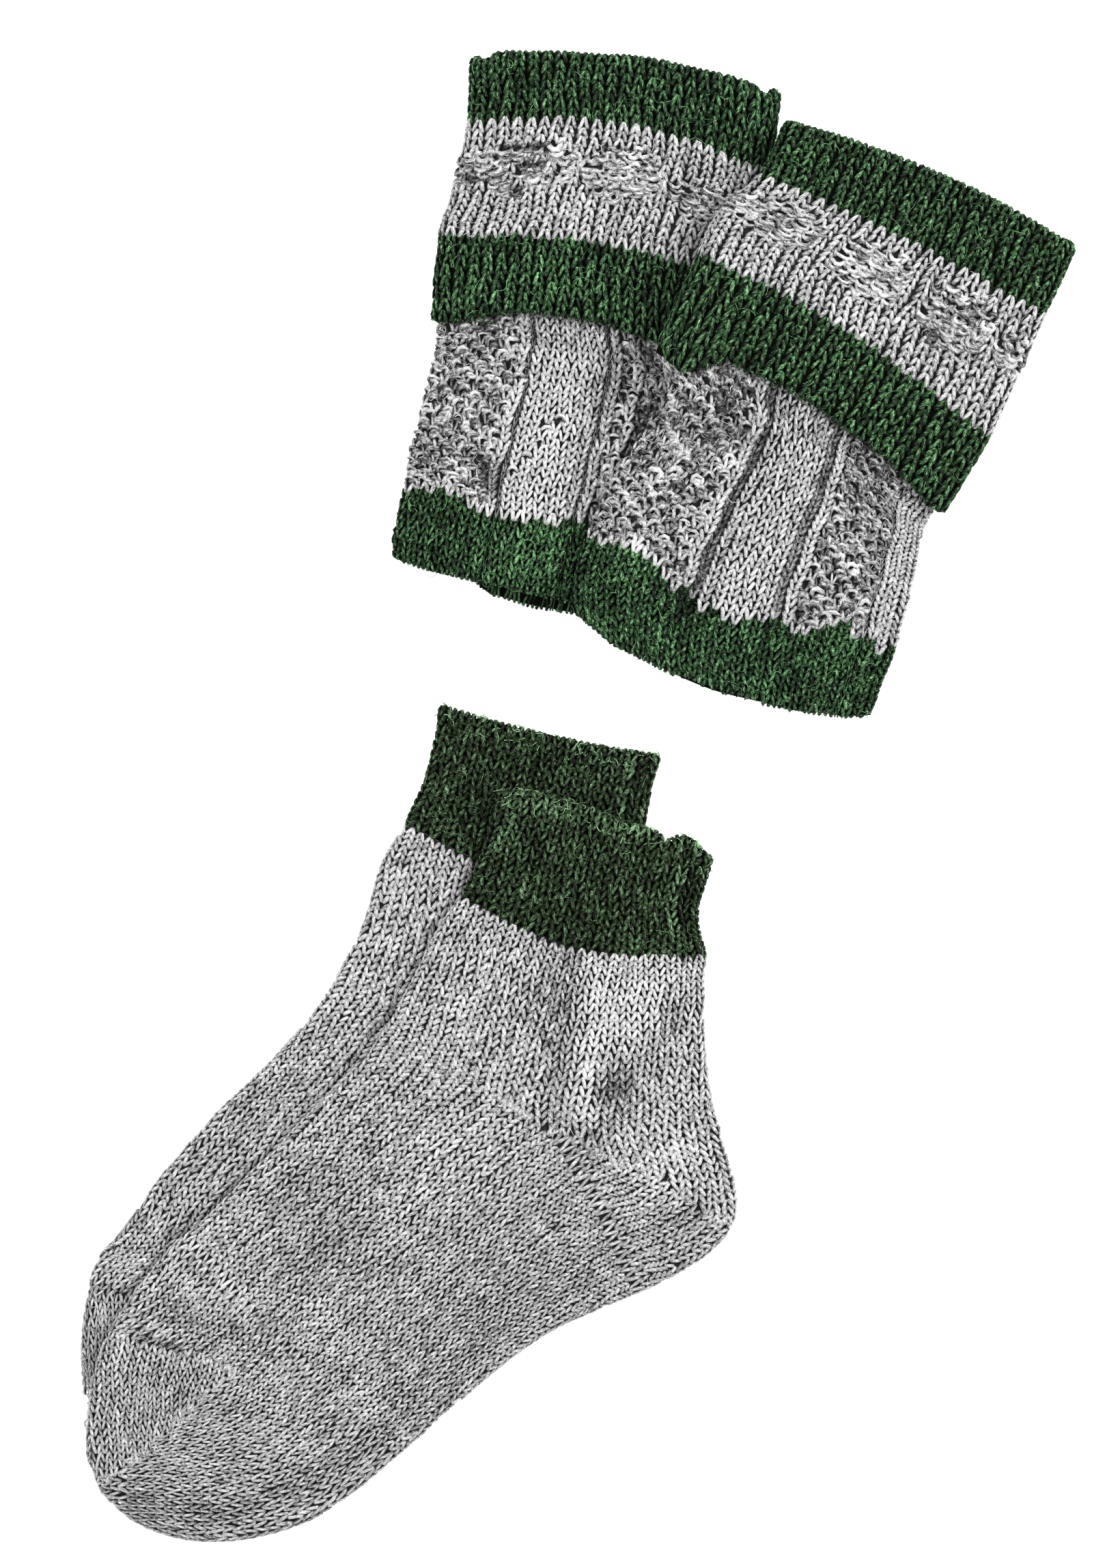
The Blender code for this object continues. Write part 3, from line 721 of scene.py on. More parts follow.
def add_mesh(name, vertices, faces, material, attributes=None):
    """A smooth mesh in metres from millimetre vertices; faces is one array or several."""
    groups = faces if isinstance(faces, list) else [faces]
    groups = [np.asarray(g, np.int32) for g in groups if len(g)]
    loops = np.concatenate([g.ravel() for g in groups])
    sizes = np.concatenate([np.full(len(g), g.shape[1], np.int32) for g in groups])
    starts = np.concatenate([[0], np.cumsum(sizes)[:-1]]).astype(np.int32)
    mesh = bpy.data.meshes.new(name)
    mesh.vertices.add(len(vertices))
    mesh.vertices.foreach_set("co", (np.asarray(vertices) * MM).astype(np.float32).ravel())
    mesh.loops.add(len(loops))
    mesh.loops.foreach_set("vertex_index", loops)
    mesh.polygons.add(len(sizes))
    mesh.polygons.foreach_set("loop_start", starts)
    mesh.update(calc_edges=True)
    mesh.validate()
    mesh.shade_smooth()
    for key, values in (attributes or {}).items():
        layer = mesh.attributes.new(key, "FLOAT", "POINT")
        layer.data.foreach_set("value", np.asarray(values, np.float32).ravel())
    mesh.materials.append(material)
    piece = bpy.data.objects.new(name, mesh)
    bpy.context.scene.collection.objects.link(piece)
    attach(piece, "root")
    return piece


Lattice = namedtuple("Lattice", "centre wale course number column share lift tone")

# A strand's stations from its foot to its head: place, width, height, and crest, its brightness,
# lower towards the ends as painted shade
Strand = namedtuple("Strand", "t width height crest")
LEG = Strand(np.array([0.0, 0.13, 0.5, 0.86, 1.0]), np.array([0.0, 0.85, 1.0, 0.92, 0.0]),
             np.array([-0.35, 0.15, 0.34, 0.06, -0.70]), np.array([0.5, 0.95, 1.0, 0.8, 0.1]))
LEG_COARSE = Strand(LEG.t[::2], LEG.width[::2], LEG.height[::2], LEG.crest[::2])
BAR = Strand(np.array([0.0, 0.18, 0.4, 0.6, 0.82, 1.0]), np.array([0.0, 0.9, 1.0, 1.0, 0.9, 0.0]),
             np.array([-0.8, -0.1, 0.25, 0.25, -0.1, -0.8]),
             np.array([0.0, 0.7, 1.0, 1.0, 0.7, 0.0]))
RING = np.radians([90, 20, -50, -130, 160])
RING_AROUND = np.array([0.5, 0.7, 0.9, 0.1, 0.3])
# RING_CREST is painted shade, darkening each ring down its sides and underneath
RING_CREST = np.array([1.0, 0.74, 0.0, 0.0, 0.74])
STRAND_LIFT, STRAND_TONE, HAIR_TONE = 0.05, 0.07, 0.18     # spread from one to the next
SEEDS = 400
# Width as a share of the distance between stitches, and thickness in mm
KNIT_WIDTH, KNIT_THICK = 0.185, 0.66
PURL_WIDTH, PURL_THICK = 0.27, 0.70
SINKER_WIDTH, SINKER_THICK = 0.26, 0.66


class Stitches:
    """Gathers strands of yarn and makes them into meshes."""

    KEYS = ("along", "around", "crest", "tone", "seed")

    def __init__(self, tube, side, tone=0.0, coarse=False):
        self.tube, self.side, self.tone, self.coarse = tube, side, tone, coarse
        self.parts = []

    def strand(self, lattice, path, width, thick, kind=LEG, lift=0.0, shade=0.0):
        """Plump strands along a path given in shares of the wale and course vectors."""
        n = len(lattice.centre)
        if not n:
            return
        if self.coarse:
            kind = LEG_COARSE
        path = np.asarray(path, float)
        if path.ndim == 2:
            path = np.broadcast_to(path, (n,) + path.shape)
        stations = len(kind.t)
        knots = kind.t * (path.shape[1] - 1)
        k = np.minimum(knots.astype(int), path.shape[1] - 2)
        f = (knots - k)[None, :, None]
        shares = path[:, k] * (1 - f) + path[:, k + 1] * f
        points = (lattice.centre[:, None] + lattice.wale[:, None] * shares[..., 0:1]
                  + lattice.course[:, None] * shares[..., 1:2])
        spot, normal = self.tube.place(points.reshape(-1, 2), self.side)
        spot, normal = spot.reshape(n, stations, 3), normal.reshape(n, stations, 3)
        tangent = unit(np.gradient(spot, axis=1))
        across = unit(np.cross(normal, tangent))
        width = np.broadcast_to(np.asarray(width, float), (n,))
        thick = np.broadcast_to(np.asarray(thick, float), (n,))
        raised = lattice.lift + lift + rng.normal(0, STRAND_LIFT, n)
        core = spot + normal * (kind.height[None, :, None] + raised[:, None, None])
        profile = kind.width[1:-1]
        wide = (width[:, None] * profile[None])[..., None, None]
        deep = (thick[:, None] * (0.35 + 0.65 * profile[None]))[..., None, None]
        ring = (core[:, 1:-1, None] + across[:, 1:-1, None] * wide * np.cos(RING)[:, None]
                + normal[:, 1:-1, None] * deep * np.sin(RING)[:, None])
        sides, inner = len(RING), len(profile)
        vertices = np.concatenate([core[:, :1], ring.reshape(n, inner * sides, 3),
                                   core[:, -1:]], axis=1)
        per = vertices.shape[1]
        k = np.arange(sides)
        j = (k + 1) % sides
        quads = [np.stack([1 + r * sides + k, 1 + r * sides + j,
                           1 + (r + 1) * sides + j, 1 + (r + 1) * sides + k], axis=1)
                 for r in range(inner - 1)]
        foot = np.stack([0 * k, 1 + j, 1 + k], axis=1)
        top = 1 + (inner - 1) * sides
        head = np.stack([0 * k + per - 1, top + k, top + j], axis=1)
        along = np.concatenate([kind.t[:1], np.repeat(kind.t[1:-1], sides), kind.t[-1:]])
        around = np.concatenate([[0.5], np.tile(RING_AROUND, inner), [0.5]])
        crest = np.concatenate([kind.crest[:1],
                                (kind.crest[1:-1, None] * RING_CREST).ravel(), kind.crest[-1:]])
        # painted shade on low stitches and painted light on raised ones, plus the folds' painted
        # shade and light
        hollow = lattice.lift * RIB_SHADING if self.side > 0 else 0.0
        if self.side > 0:
            hollow = hollow + self.tube.read(self.tube.shade, lattice.centre)
        tone = self.tone + shade + lattice.tone + hollow + rng.normal(0, STRAND_TONE, n)
        seed = rng.uniform(0, SEEDS, n)
        each = np.ones((n, per))
        self.parts.append(dict(
            vertices=vertices, quads=np.concatenate(quads) if quads else None,
            tris=np.concatenate([foot, head]), along=along * each, around=around * each,
            crest=crest * each, tone=tone[:, None] * each, seed=seed[:, None] * each))

    def fibres(self, lattice, count, length=5.5, width=0.05, shade=0.2):
        """Loose hairs: thin curved ribbons that leave the cloth and curl back."""
        n = int(count)
        if not n or not len(lattice.centre):
            return
        pick = rng.integers(0, len(lattice.centre), n)
        root = (lattice.centre[pick] + lattice.wale[pick] * rng.uniform(-0.6, 0.6, (n, 1))
                + lattice.course[pick] * rng.uniform(-0.6, 0.6, (n, 1)))
        spot, normal = self.tube.place(root, self.side)
        spot = spot + normal * (lattice.lift[pick] + 0.5)[:, None]
        seen = np.array([0.0, 0.0, 1.0]) * self.side
        first = unit(np.cross(normal, rng.normal(size=(n, 3))))
        second = np.cross(normal, first)
        stations = 7
        long = length * rng.uniform(0.35, 1.3, n) / (stations - 1)
        bend = rng.normal(0, 0.35, n)
        turn = rng.uniform(0, 2 * math.pi, n)
        here, core = spot, [spot]
        for k in range(1, stations):
            turn = turn + bend + rng.normal(0, 0.25, n)
            way = first * np.cos(turn)[:, None] + second * np.sin(turn)[:, None]
            rise = 0.22 * (1 - 2 * k / stations)
            here = here + (way + normal * rise) * long[:, None]
            core.append(here)
        core = np.stack(core, axis=1)
        core[..., 2] = np.maximum(core[..., 2], HAIR_FLOOR)
        across = unit(np.cross(seen, np.gradient(core, axis=1)))
        taper = np.array([1, 1, 1, 0.9, 0.8, 0.6, 0.3])
        half = (width * rng.uniform(0.7, 1.3, n))[:, None] * taper
        vertices = np.stack([core + across * half[..., None], core - across * half[..., None]],
                            axis=2).reshape(n, -1, 3)
        k = 2 * np.arange(stations - 1)
        each = np.ones((n, 2 * stations))
        along = np.repeat(np.arange(stations) * 0.5, 2)
        tone = self.tone + shade + lattice.tone[pick] + rng.normal(0, HAIR_TONE, n)
        self.parts.append(dict(
            vertices=vertices, quads=np.stack([k, k + 1, k + 3, k + 2], axis=1), tris=None,
            along=along * each, around=0.5 * each, crest=each, tone=tone[:, None] * each,
            seed=rng.uniform(0, SEEDS, n)[:, None] * each))

    def make(self, name, material):
        offset, vertices, quads, tris = 0, [], [], []
        layers = {key: [] for key in self.KEYS}
        for part in self.parts:
            n, per = part["vertices"].shape[:2]
            starts = offset + per * np.arange(n)[:, None, None]
            if part["quads"] is not None:
                quads.append((starts + part["quads"][None]).reshape(-1, 4))
            if part["tris"] is not None:
                tris.append((starts + part["tris"][None]).reshape(-1, 3))
            vertices.append(part["vertices"].reshape(-1, 3))
            for key in layers:
                layers[key].append(part[key].reshape(-1))
            offset += n * per
        faces = [np.concatenate(g) for g in (quads, tris) if g]
        return add_mesh(name, np.concatenate(vertices), faces, material,
                        {key: np.concatenate(values) for key, values in layers.items()})


def chosen(lattice, keep):
    return Lattice(*(values[keep] for values in lattice))


def wandering(points, amount=0.35):
    """Hand knitting's slow unevenness, in millimetres."""
    x, y = points[:, 0], points[:, 1]
    return points + amount * np.stack([
        np.sin(0.31 * y + 0.11 * x) + 0.7 * np.sin(0.19 * x - 0.43 * y + 1.3),
        np.sin(0.27 * x - 0.13 * y + 0.7) + 0.7 * np.sin(0.39 * x + 0.21 * y + 2.1)], axis=1)


def wobbly(path, n, amount):
    """A path for each of n stitches, shifted and bent a little, in shares of a stitch."""
    return np.asarray(path)[None] + rng.normal(0, amount, (n, 1, 2)) \
        + rng.normal(0, amount / 2, (n, len(path), 2))


def knit(stitches, lattice, size=1.0, point_down=True, lift=0.0, shade=0.0, spread=1.0,
         foot=0.84, head=0.76):
    """The two legs of each knit stitch: a V with its point down the tube, or turned over."""
    n = len(lattice.centre)
    way = 1.0 if point_down else -1.0
    spacing = np.linalg.norm(lattice.wale, axis=1)
    for leg in (-1, 1):
        path = wobbly([(leg * 0.04, foot * way), (leg * 0.19 * spread, 0.30 * way),
                       (leg * 0.32 * spread, -0.20 * way), (leg * 0.48 * spread, -head * way)],
                      n, 0.03)
        width = spacing * KNIT_WIDTH * size * rng.normal(1, 0.10, n)
        stitches.strand(lattice, path, width, KNIT_THICK * size, lift=lift, shade=shade)


def purl(stitches, lattice, point_down=True, lift=0.0, shade=0.0, sinkers=True, turn=0.22):
    """The bump of each purl stitch, an arc across the column, and the arc to the next one."""
    n = len(lattice.centre)
    way = 1.0 if point_down else -1.0
    height = np.linalg.norm(lattice.course, axis=1)
    path = wobbly([(-0.54, 0.62 * way), (-0.42, 0.02 * way), (0.0, -0.40 * way),
                   (0.42, 0.02 * way), (0.54, 0.62 * way)], n, 0.12)
    lean = rng.normal(0, turn, (n, 1))
    path = path + np.stack([-lean * path[..., 1], lean * path[..., 0]], axis=-1)
    stitches.strand(lattice, path, height * PURL_WIDTH * rng.normal(1, 0.14, n), PURL_THICK,
                    BAR, lift=lift + rng.normal(0.15, 0.18, n), shade=shade)
    if sinkers:
        path = wobbly([(0.08, 0.10 * way), (0.22, 0.58 * way), (0.5, 0.78 * way),
                       (0.78, 0.58 * way), (0.92, 0.10 * way)], n, 0.07)
        stitches.strand(lattice, path, height * SINKER_WIDTH * rng.normal(1, 0.10, n),
                        SINKER_THICK, BAR, lift=lift + rng.normal(0.0, 0.12, n),
                        shade=shade - 0.05)


def wrapped(stitches, lattice):
    """A knit column bound by a double wrap at every fourth course."""
    bound = lattice.number % 4 == 0
    knit(stitches, chosen(lattice, ~bound), 1.05, lift=0.1)
    wrap = chosen(lattice, bound)
    purl(stitches, wrap, lift=0.35, sinkers=False)
    purl(stitches, wrap._replace(centre=wrap.centre + wrap.course * 0.4), lift=0.25,
         sinkers=False)


def chart(stitches, lattice, kinds, point_down=True, spread=1.0, size=1.0):
    """Works each stitch as the chart says; kinds is an array of its letters.

    Moss is tufts that stand unevenly, knit and purl in turn, with an arc across each bump.
    """
    parity = (lattice.number + lattice.column) % 2
    moss = (kinds == "m") | (kinds == "o")
    purl(stitches, chosen(lattice, kinds == "p"), point_down, turn=0.28)
    knit(stitches, chosen(lattice, (kinds == "k") | (kinds == ".")), size, point_down,
         spread=spread)
    tufts = chosen(lattice, moss)
    n = len(tufts.centre)
    bump = (parity[moss] == 0) | (kinds[moss] == "o")
    tufts = tufts._replace(
        centre=tufts.centre + rng.normal(0, 0.30, (n, 2)),
        wale=tufts.wale * rng.normal(0.95, 0.12, (n, 1)),
        course=tufts.course * rng.normal(1.05, 0.15, (n, 1)),
        tone=tufts.tone + rng.normal(0.0, 0.13, n))
    knit(stitches, chosen(tufts, ~bump), 1.0, point_down, lift=-0.1, shade=-0.12)
    purl(stitches, chosen(tufts, bump), point_down, lift=0.25, turn=0.5)
    across = chosen(tufts, bump)
    across = across._replace(centre=across.centre + across.course * 0.55 + across.wale * 0.4)
    purl(stitches, across, point_down, lift=-0.05, shade=-0.12, sinkers=False, turn=0.6)
    rough = chosen(lattice, moss | (kinds == "p") | (kinds == "w"))
    stitches.fibres(rough, len(rough.centre) * 0.5, 4.0, 0.08, 0.05)
    # d and D are darkened by painted shade in their grooves
    for letter, big, up, tone in (("d", 1.2, 0, -0.06), ("D", 1.15, 0, -0.17),
                                  ("b", 1.12, 0.1, 0)):
        knit(stitches, chosen(lattice, kinds == letter), big, point_down, up, tone)
    wrapped(stitches, chosen(lattice, kinds == "w"))


# ---------------------------------------------------------------- nets of courses

# Rows of a course's number and five places x, y along it, in photo pixels.
# Leg and heel of the upper sock, from the instep side to the back
NET_LEG = [
    (-4, 690, 1272, 772, 1318, 850, 1348, 940, 1358, 1030, 1356),
    (0, 673, 1312, 755, 1358, 840, 1390, 935, 1400, 1033, 1400),
    (11, 622, 1412, 712, 1478, 815, 1512, 920, 1518, 1030, 1515),
    (22, 568, 1502, 676, 1575, 785, 1642, 912, 1648, 1042, 1636),
    (29, 520, 1560, 660, 1640, 788, 1712, 925, 1722, 1072, 1710),
    (36, 470, 1620, 640, 1712, 788, 1790, 935, 1800, 1092, 1790),
    (43, 420, 1680, 620, 1780, 786, 1870, 940, 1876, 1096, 1868),
]
# Foot: from the wedge at the heel forward to the toe
NET_FOOT = [
    (1, 772, 1330, 880, 1400, 980, 1492, 1062, 1632, 1135, 1775),
    (8, 704, 1388, 812, 1460, 914, 1546, 992, 1684, 1066, 1825),
    (15, 636, 1445, 744, 1518, 850, 1596, 926, 1726, 996, 1866),
    (22, 568, 1502, 676, 1575, 785, 1642, 862, 1758, 925, 1894),
    (44, 430, 1659, 512, 1740, 592, 1825, 668, 1912, 740, 1997),
    (62, 280, 1806, 356, 1888, 432, 1970, 507, 2052, 581, 2133),
    (72, 196, 1896, 277, 1964, 347, 2040, 402, 2124, 443, 2228),
    (80, 110, 1950, 190, 2020, 262, 2080, 300, 2150, 318, 2258),
    (88, 40, 2000, 100, 2060, 172, 2100, 200, 2160, 205, 2240),
    (96, -40, 2040, 20, 2080, 80, 2110, 100, 2165, 95, 2220),
]
HEEL_COURSE = 22        # where the leg's courses turn into the foot's
# Toe pocket: from its seam down to the toe's gore
NET_TOE = [
    (-8, 152, 1845, 202, 1862, 250, 1880, 310, 1895, 380, 1915),
    (0, 140, 1930, 195, 1948, 250, 1966, 310, 1988, 380, 2012),
    (7, 133, 2012, 185, 2022, 236, 2034, 290, 2052, 350, 2074),
    (14, 131, 2090, 181, 2094, 231, 2104, 280, 2120, 332, 2138),
    (22, 138, 2182, 187, 2184, 236, 2190, 284, 2204, 332, 2222),
]
# Borders between those nets: the heel's gore and the toe's
HEEL_GORE = [(785, 1642), (869, 1679), (911, 1709), (964, 1717), (987, 1740), (1037, 1778),
             (1110, 1822)]
TOE_SEAM = [(100, 1934), (152, 1945), (186, 1953), (228, 1966), (269, 1980), (318, 1997),
            (352, 2009)]
TOE_GORE = [(346, 2010), (322, 2024), (298, 2044), (266, 2074), (240, 2102), (222, 2124),
            (184, 2146), (140, 2174), (90, 2194)]
TOE_END = 346           # the toe pocket lies left of this x

# The courses that are worked on each net
LEG_COURSES, FOOT_END, TOE_COURSES = (0, 43), 96, (-8, 22)
# How far each net's stitches lap over those borders, in mm, so that no gap shows
LEG_LAP, FOOT_LAP = 0.9, 0.7            # at the heel's gore
FOOT_LAPS, TOE_LAPS = (-0.8, -0.8), (0.4, 0.8)      # at the toe's seam and gore
# The toe's seam: how far above its line it is deepest, its width, its tone and its depth
SEAM_OFFSET, SEAM_WIDTH, SEAM_TONE, SEAM_LIFT = 0.9, 1.1, -0.22, -0.2

# Distances between stitches, in mm
SOCK_WALE, TOE_WALE = 3.45, 3.45 * 0.9
CUFF_COURSE, LEG_COURSE, TURN_COURSE, BAND_COURSE = 3.0, 2.75, 3.3, 2.7
WIDEST, TIGHTEST = 1.38, 0.62       # wales are added and ended outside these, in spacings
NET_LOW, NET_HIGH = -0.13, 1.13     # a net's courses go on past its sides to these shares
SPARE = 4                           # columns that a tube has past each side line


def from_photo(points):
    points = np.asarray(points, float)
    return (points - PHOTO_ORIGIN) * [PHOTO_SCALE, -PHOTO_SCALE]


class Net:
    """Courses as listed, read at any course number and any share across."""

    def __init__(self, table):
        rows = np.array(table, float)
        self.numbers = rows[:, 0]
        self.points = from_photo(rows[:, 1:].reshape(len(rows), -1, 2))

    def line(self, number, shares):
        """The places at these shares of one course."""
        at = np.interp(np.full(len(shares), number), self.numbers, np.arange(len(self.numbers)))
        across = catmull(self.points.reshape(len(self.points), -1), at)
        across = across.reshape(len(shares), -1, 2)
        last = across.shape[1] - 1
        position = shares * last
        k = np.clip(np.floor(position).astype(int), 0, last - 1)

        def knot(i):
            return across[np.arange(len(shares)), np.clip(i, 0, last)]

        b, c = knot(k), knot(k + 1)
        a = np.where((k > 0)[:, None], knot(k - 1), 2 * b - c)
        d = np.where((k < last - 1)[:, None], knot(k + 2), 2 * c - b)
        return cubic(a, b, c, d, (position - k)[:, None])


def spaced(at, spacing, length):
    """Wales' places along a course, evened out, some added or ended to keep their spacing."""
    for _ in range(8):
        padded = np.concatenate([[at[0] - spacing], at, [at[-1] + spacing]])
        at = at + 0.25 * (padded[:-2] + padded[2:] - 2 * at)
    wide = np.nonzero(np.diff(at) > WIDEST * spacing)[0]
    at = np.sort(np.concatenate([at, (at[wide] + at[wide + 1]) / 2]))
    tight = np.nonzero(np.diff(at) < TIGHTEST * spacing)[0]
    at = np.delete(at, tight[::2] + 1)
    while at[0] > spacing:
        at = np.concatenate([[at[0] - spacing], at])
    while at[-1] < length - spacing:
        at = np.concatenate([at, [at[-1] + spacing]])
    return at[(at > 0) & (at < length)]


def wales_over(net, first, last, spacing, shares=None):
    """Columns of stitches down a net, from the shares given or spread over its first course."""
    fine = np.linspace(NET_LOW, NET_HIGH, 281)
    rows = []
    for number in range(first, last, 1 if last > first else -1):
        length = lengths_along(net.line(number + 0.5, fine))
        if shares is None:
            count = int(length[-1] / spacing)
            shares = np.interp((np.arange(count) + 0.5) * length[-1] / count, length, fine)
        at = spaced(np.interp(shares, fine, length), spacing, length[-1])
        shares = np.interp(at, length, fine)
        here = net.line(number + 0.5, shares)
        across = unit(net.line(number + 0.5, shares + 0.01) - here)
        slide = np.clip(np.gradient(at), 0.7 * spacing, 1.35 * spacing)
        down = net.line(number + 1.0, shares) - net.line(float(number), shares)
        n = len(shares)
        rows.append(Lattice(here, across * slide[:, None], down, np.full(n, number),
                            np.arange(n), shares, np.zeros(n), np.zeros(n)))
    return joined(rows)


def joined(lattices):
    return Lattice(*(np.concatenate(values) for values in zip(*lattices)))


def above(points, line):
    """True where a point lies above a line that runs left to right, given in photo pixels."""
    line = from_photo(line)
    order = np.argsort(line[:, 0])
    return points[:, 1] > np.interp(points[:, 0], line[order, 0], line[order, 1])


def in_toe(centre, over_seam, past_gore):
    """True inside the toe's pocket, widened by a lap at its seam and at its gore."""
    return (~above(centre - [0, over_seam], TOE_SEAM)
            & above(centre + [0, past_gore], TOE_GORE)
            & (centre[:, 0] < from_photo([TOE_END, 0])[0] + past_gore))


def sock_lattices():
    """Stitch lattices of the upper sock's body: leg and heel, foot, toe pocket."""
    whole = wales_over(Net(NET_LEG), *LEG_COURSES, SOCK_WALE)
    over_gore = above(whole.centre + [0, LEG_LAP], HEEL_GORE)
    leg = chosen(whole, (whole.number < HEEL_COURSE) | ((whole.share > 0.5) & over_gore))
    # the foot goes on from the leg's wales at the instep, and starts its own beside them
    net = Net(NET_FOOT)
    start = whole.share[whole.number == HEEL_COURSE - 1]
    start = start[start <= 0.5]
    fine = np.linspace(start[-1], 1.12, 200)
    length = lengths_along(net.line(HEEL_COURSE + 0.5, fine))
    start = np.concatenate([start, np.interp(np.arange(SOCK_WALE, length[-1], SOCK_WALE),
                                             length, fine)])
    forward = wales_over(net, HEEL_COURSE, FOOT_END, SOCK_WALE, start)
    begin = forward.share[forward.number == HEEL_COURSE]
    back = wales_over(net, HEEL_COURSE - 1, 0, SOCK_WALE, begin)
    whole = joined([forward, chosen(back, back.share > 0.5)])
    past_gore = (whole.share <= 0.5) | ~above(whole.centre - [0, FOOT_LAP], HEEL_GORE)
    foot = chosen(whole, ~in_toe(whole.centre, *FOOT_LAPS) & past_gore)
    seam = from_photo(TOE_SEAM)
    gap = foot.centre[:, 1] - np.interp(foot.centre[:, 0], seam[:, 0], seam[:, 1])
    beside = foot.centre[:, 0] < from_photo([TOE_END, 0])[0] + 3
    sunk = np.where(beside, np.exp(-((gap - SEAM_OFFSET) / SEAM_WIDTH) ** 2), 0)
    foot = foot._replace(tone=SEAM_TONE * sunk, lift=SEAM_LIFT * sunk)
    whole = wales_over(Net(NET_TOE), *TOE_COURSES, TOE_WALE)
    return {"leg": leg, "foot": foot, "toe": chosen(whole, in_toe(whole.centre, *TOE_LAPS))}


def carried(lattice, old, new):
    """The same lattice on another tube of the same build, by row and share."""
    rows, shares = np.meshgrid(np.arange(-0.5, old.last + 0.01, 0.25),
                               np.arange(-0.16, 1.17, 0.04), indexing="ij")
    rows, shares = rows.ravel(), shares.ravel()
    tree = kdtree.KDTree(len(rows))
    for k, point in enumerate(old.flat(rows, shares)):
        tree.insert((*point, 0), k)
    tree.balance()

    def moved(points):
        """Finds each point's row and share by Newton steps from the nearest grid point."""
        near = np.array([tree.find((*point, 0))[1] for point in points])
        row, share = rows[near], shares[near]
        for _ in range(4):
            here = old.flat(row, share)
            down = (old.flat(row + 0.02, share) - here) / 0.02
            along = (old.flat(row, share + 0.01) - here) / 0.01
            miss = points - here
            spread = down[:, 0] * along[:, 1] - down[:, 1] * along[:, 0]
            spread = np.where(abs(spread) < 1e-3, 1e-3, spread)
            row = row + np.clip((miss[:, 0] * along[:, 1] - miss[:, 1] * along[:, 0]) / spread,
                                -0.3, 0.3)
            share = share + np.clip((down[:, 0] * miss[:, 1] - down[:, 1] * miss[:, 0]) / spread,
                                    -0.05, 0.05)
        return new.flat(row, share)

    def stretched(vectors):
        return moved(lattice.centre + vectors / 2) - moved(lattice.centre - vectors / 2)

    wale, course = stretched(lattice.wale), stretched(lattice.course)
    size = np.linalg.norm(wale, axis=1)
    # stitches that the other outline squeezes or pulls too far are left out
    sound = (size > 1.2) & (size < 7) & (np.linalg.norm(course, axis=1) < 6)
    return chosen(lattice._replace(centre=moved(lattice.centre), wale=wale, course=course), sound)


def tube_lattice(tube, first, last, widths, height, before=0, after=0, drop=None):
    """Courses down a tube between two rows, with a column for each relative width across it.

    before and after are further courses, which roll over its free ends. drop lowers the last.
    """
    fine = np.linspace(first, last, 120)
    length = lengths_along(tube.flat(fine, np.full(120, 0.5)))
    count = max(1, round(length[-1] / height))
    bounds = np.interp(np.arange(count + 1) / count * length[-1], length, fine)
    step = length[-1] / count
    columns = np.arange(-SPARE, len(widths) + SPARE)
    sides = np.cumsum(np.concatenate([[-SPARE], np.ones(SPARE), widths, np.ones(SPARE)]))
    sides = sides / np.sum(widths)
    shares = (sides[:-1] + sides[1:]) / 2
    n = len(shares)
    rates = np.diff(sides) / np.gradient(shares)

    def bound(edge):
        return bounds[min(max(edge, 0), count)]

    def line(edge):
        shift = (min(edge, 0) + max(edge - count, 0)) * step
        if drop is not None:
            shift = shift + (smooth((bound(edge) - HEM_ROW) / (HEM_END_ROW - HEM_ROW))
                             * np.interp(shares, *np.array(drop, float).T))
        return tube.flat(np.full(n, bound(edge)), shares, shift)

    parts = []
    for number in range(-before, count + after):
        upper, lower = line(number), line(number + 1)
        centre = (upper + lower) / 2
        row = (bound(number) + bound(number + 1)) / 2
        lift = tube.rib(row, shares) if tube.relief_start > 0 else np.zeros(n)
        parts.append(Lattice(centre, np.gradient(centre, axis=0) * rates[:, None], lower - upper,
                             np.full(n, number), columns, shares, lift, np.zeros(n)))
    return joined(parts)


def visible(tube, side, lattice, covers, turn):
    """The stitches on the tube's face, up to the middle of its sides, that nothing covers.

    Along the tube's own sides they stay, since they show from a low view.
    """
    rim = tube.rim(lattice.centre)
    keep = rim < tube.half * math.pi / 2 + SIDE_REACH
    keep &= tube.past_ends(lattice.centre, side) < turn
    for cover in covers:
        keep &= (outside_of(lattice.centre, cover) > -COVER_MARGIN) | (rim > -SIDE_STRIP)
    return chosen(lattice, keep)


# ---------------------------------------------------------------- the cloth under the stitches

def loft(name, rings, closed, material):
    """Skin over a run of rings: a tube wall when closed, a pocket wall with two caps if not."""
    rings = np.array(rings)
    count, around = rings.shape[:2]
    k = np.arange(around)
    j = (k + 1) % around
    faces = []
    for a in range(count if closed else count - 1):
        b = (a + 1) % count
        faces.append(np.stack([a * around + k, a * around + j, b * around + j, b * around + k],
                              axis=1))
    faces = [np.concatenate(faces)]
    if not closed:
        half = around // 2
        for first in (0, (count - 1) * around):
            strip = np.arange(half)
            turn = -1 if first == 0 else 1
            quad = np.stack([first + strip, first + (strip + 1) % around,
                             first + (around - 2 - strip) % around,
                             first + (around - 1 - strip) % around], axis=1)[:, ::turn]
            faces.append(quad[:half - 1])
    return add_mesh(name, rings.reshape(-1, 3), faces, material)


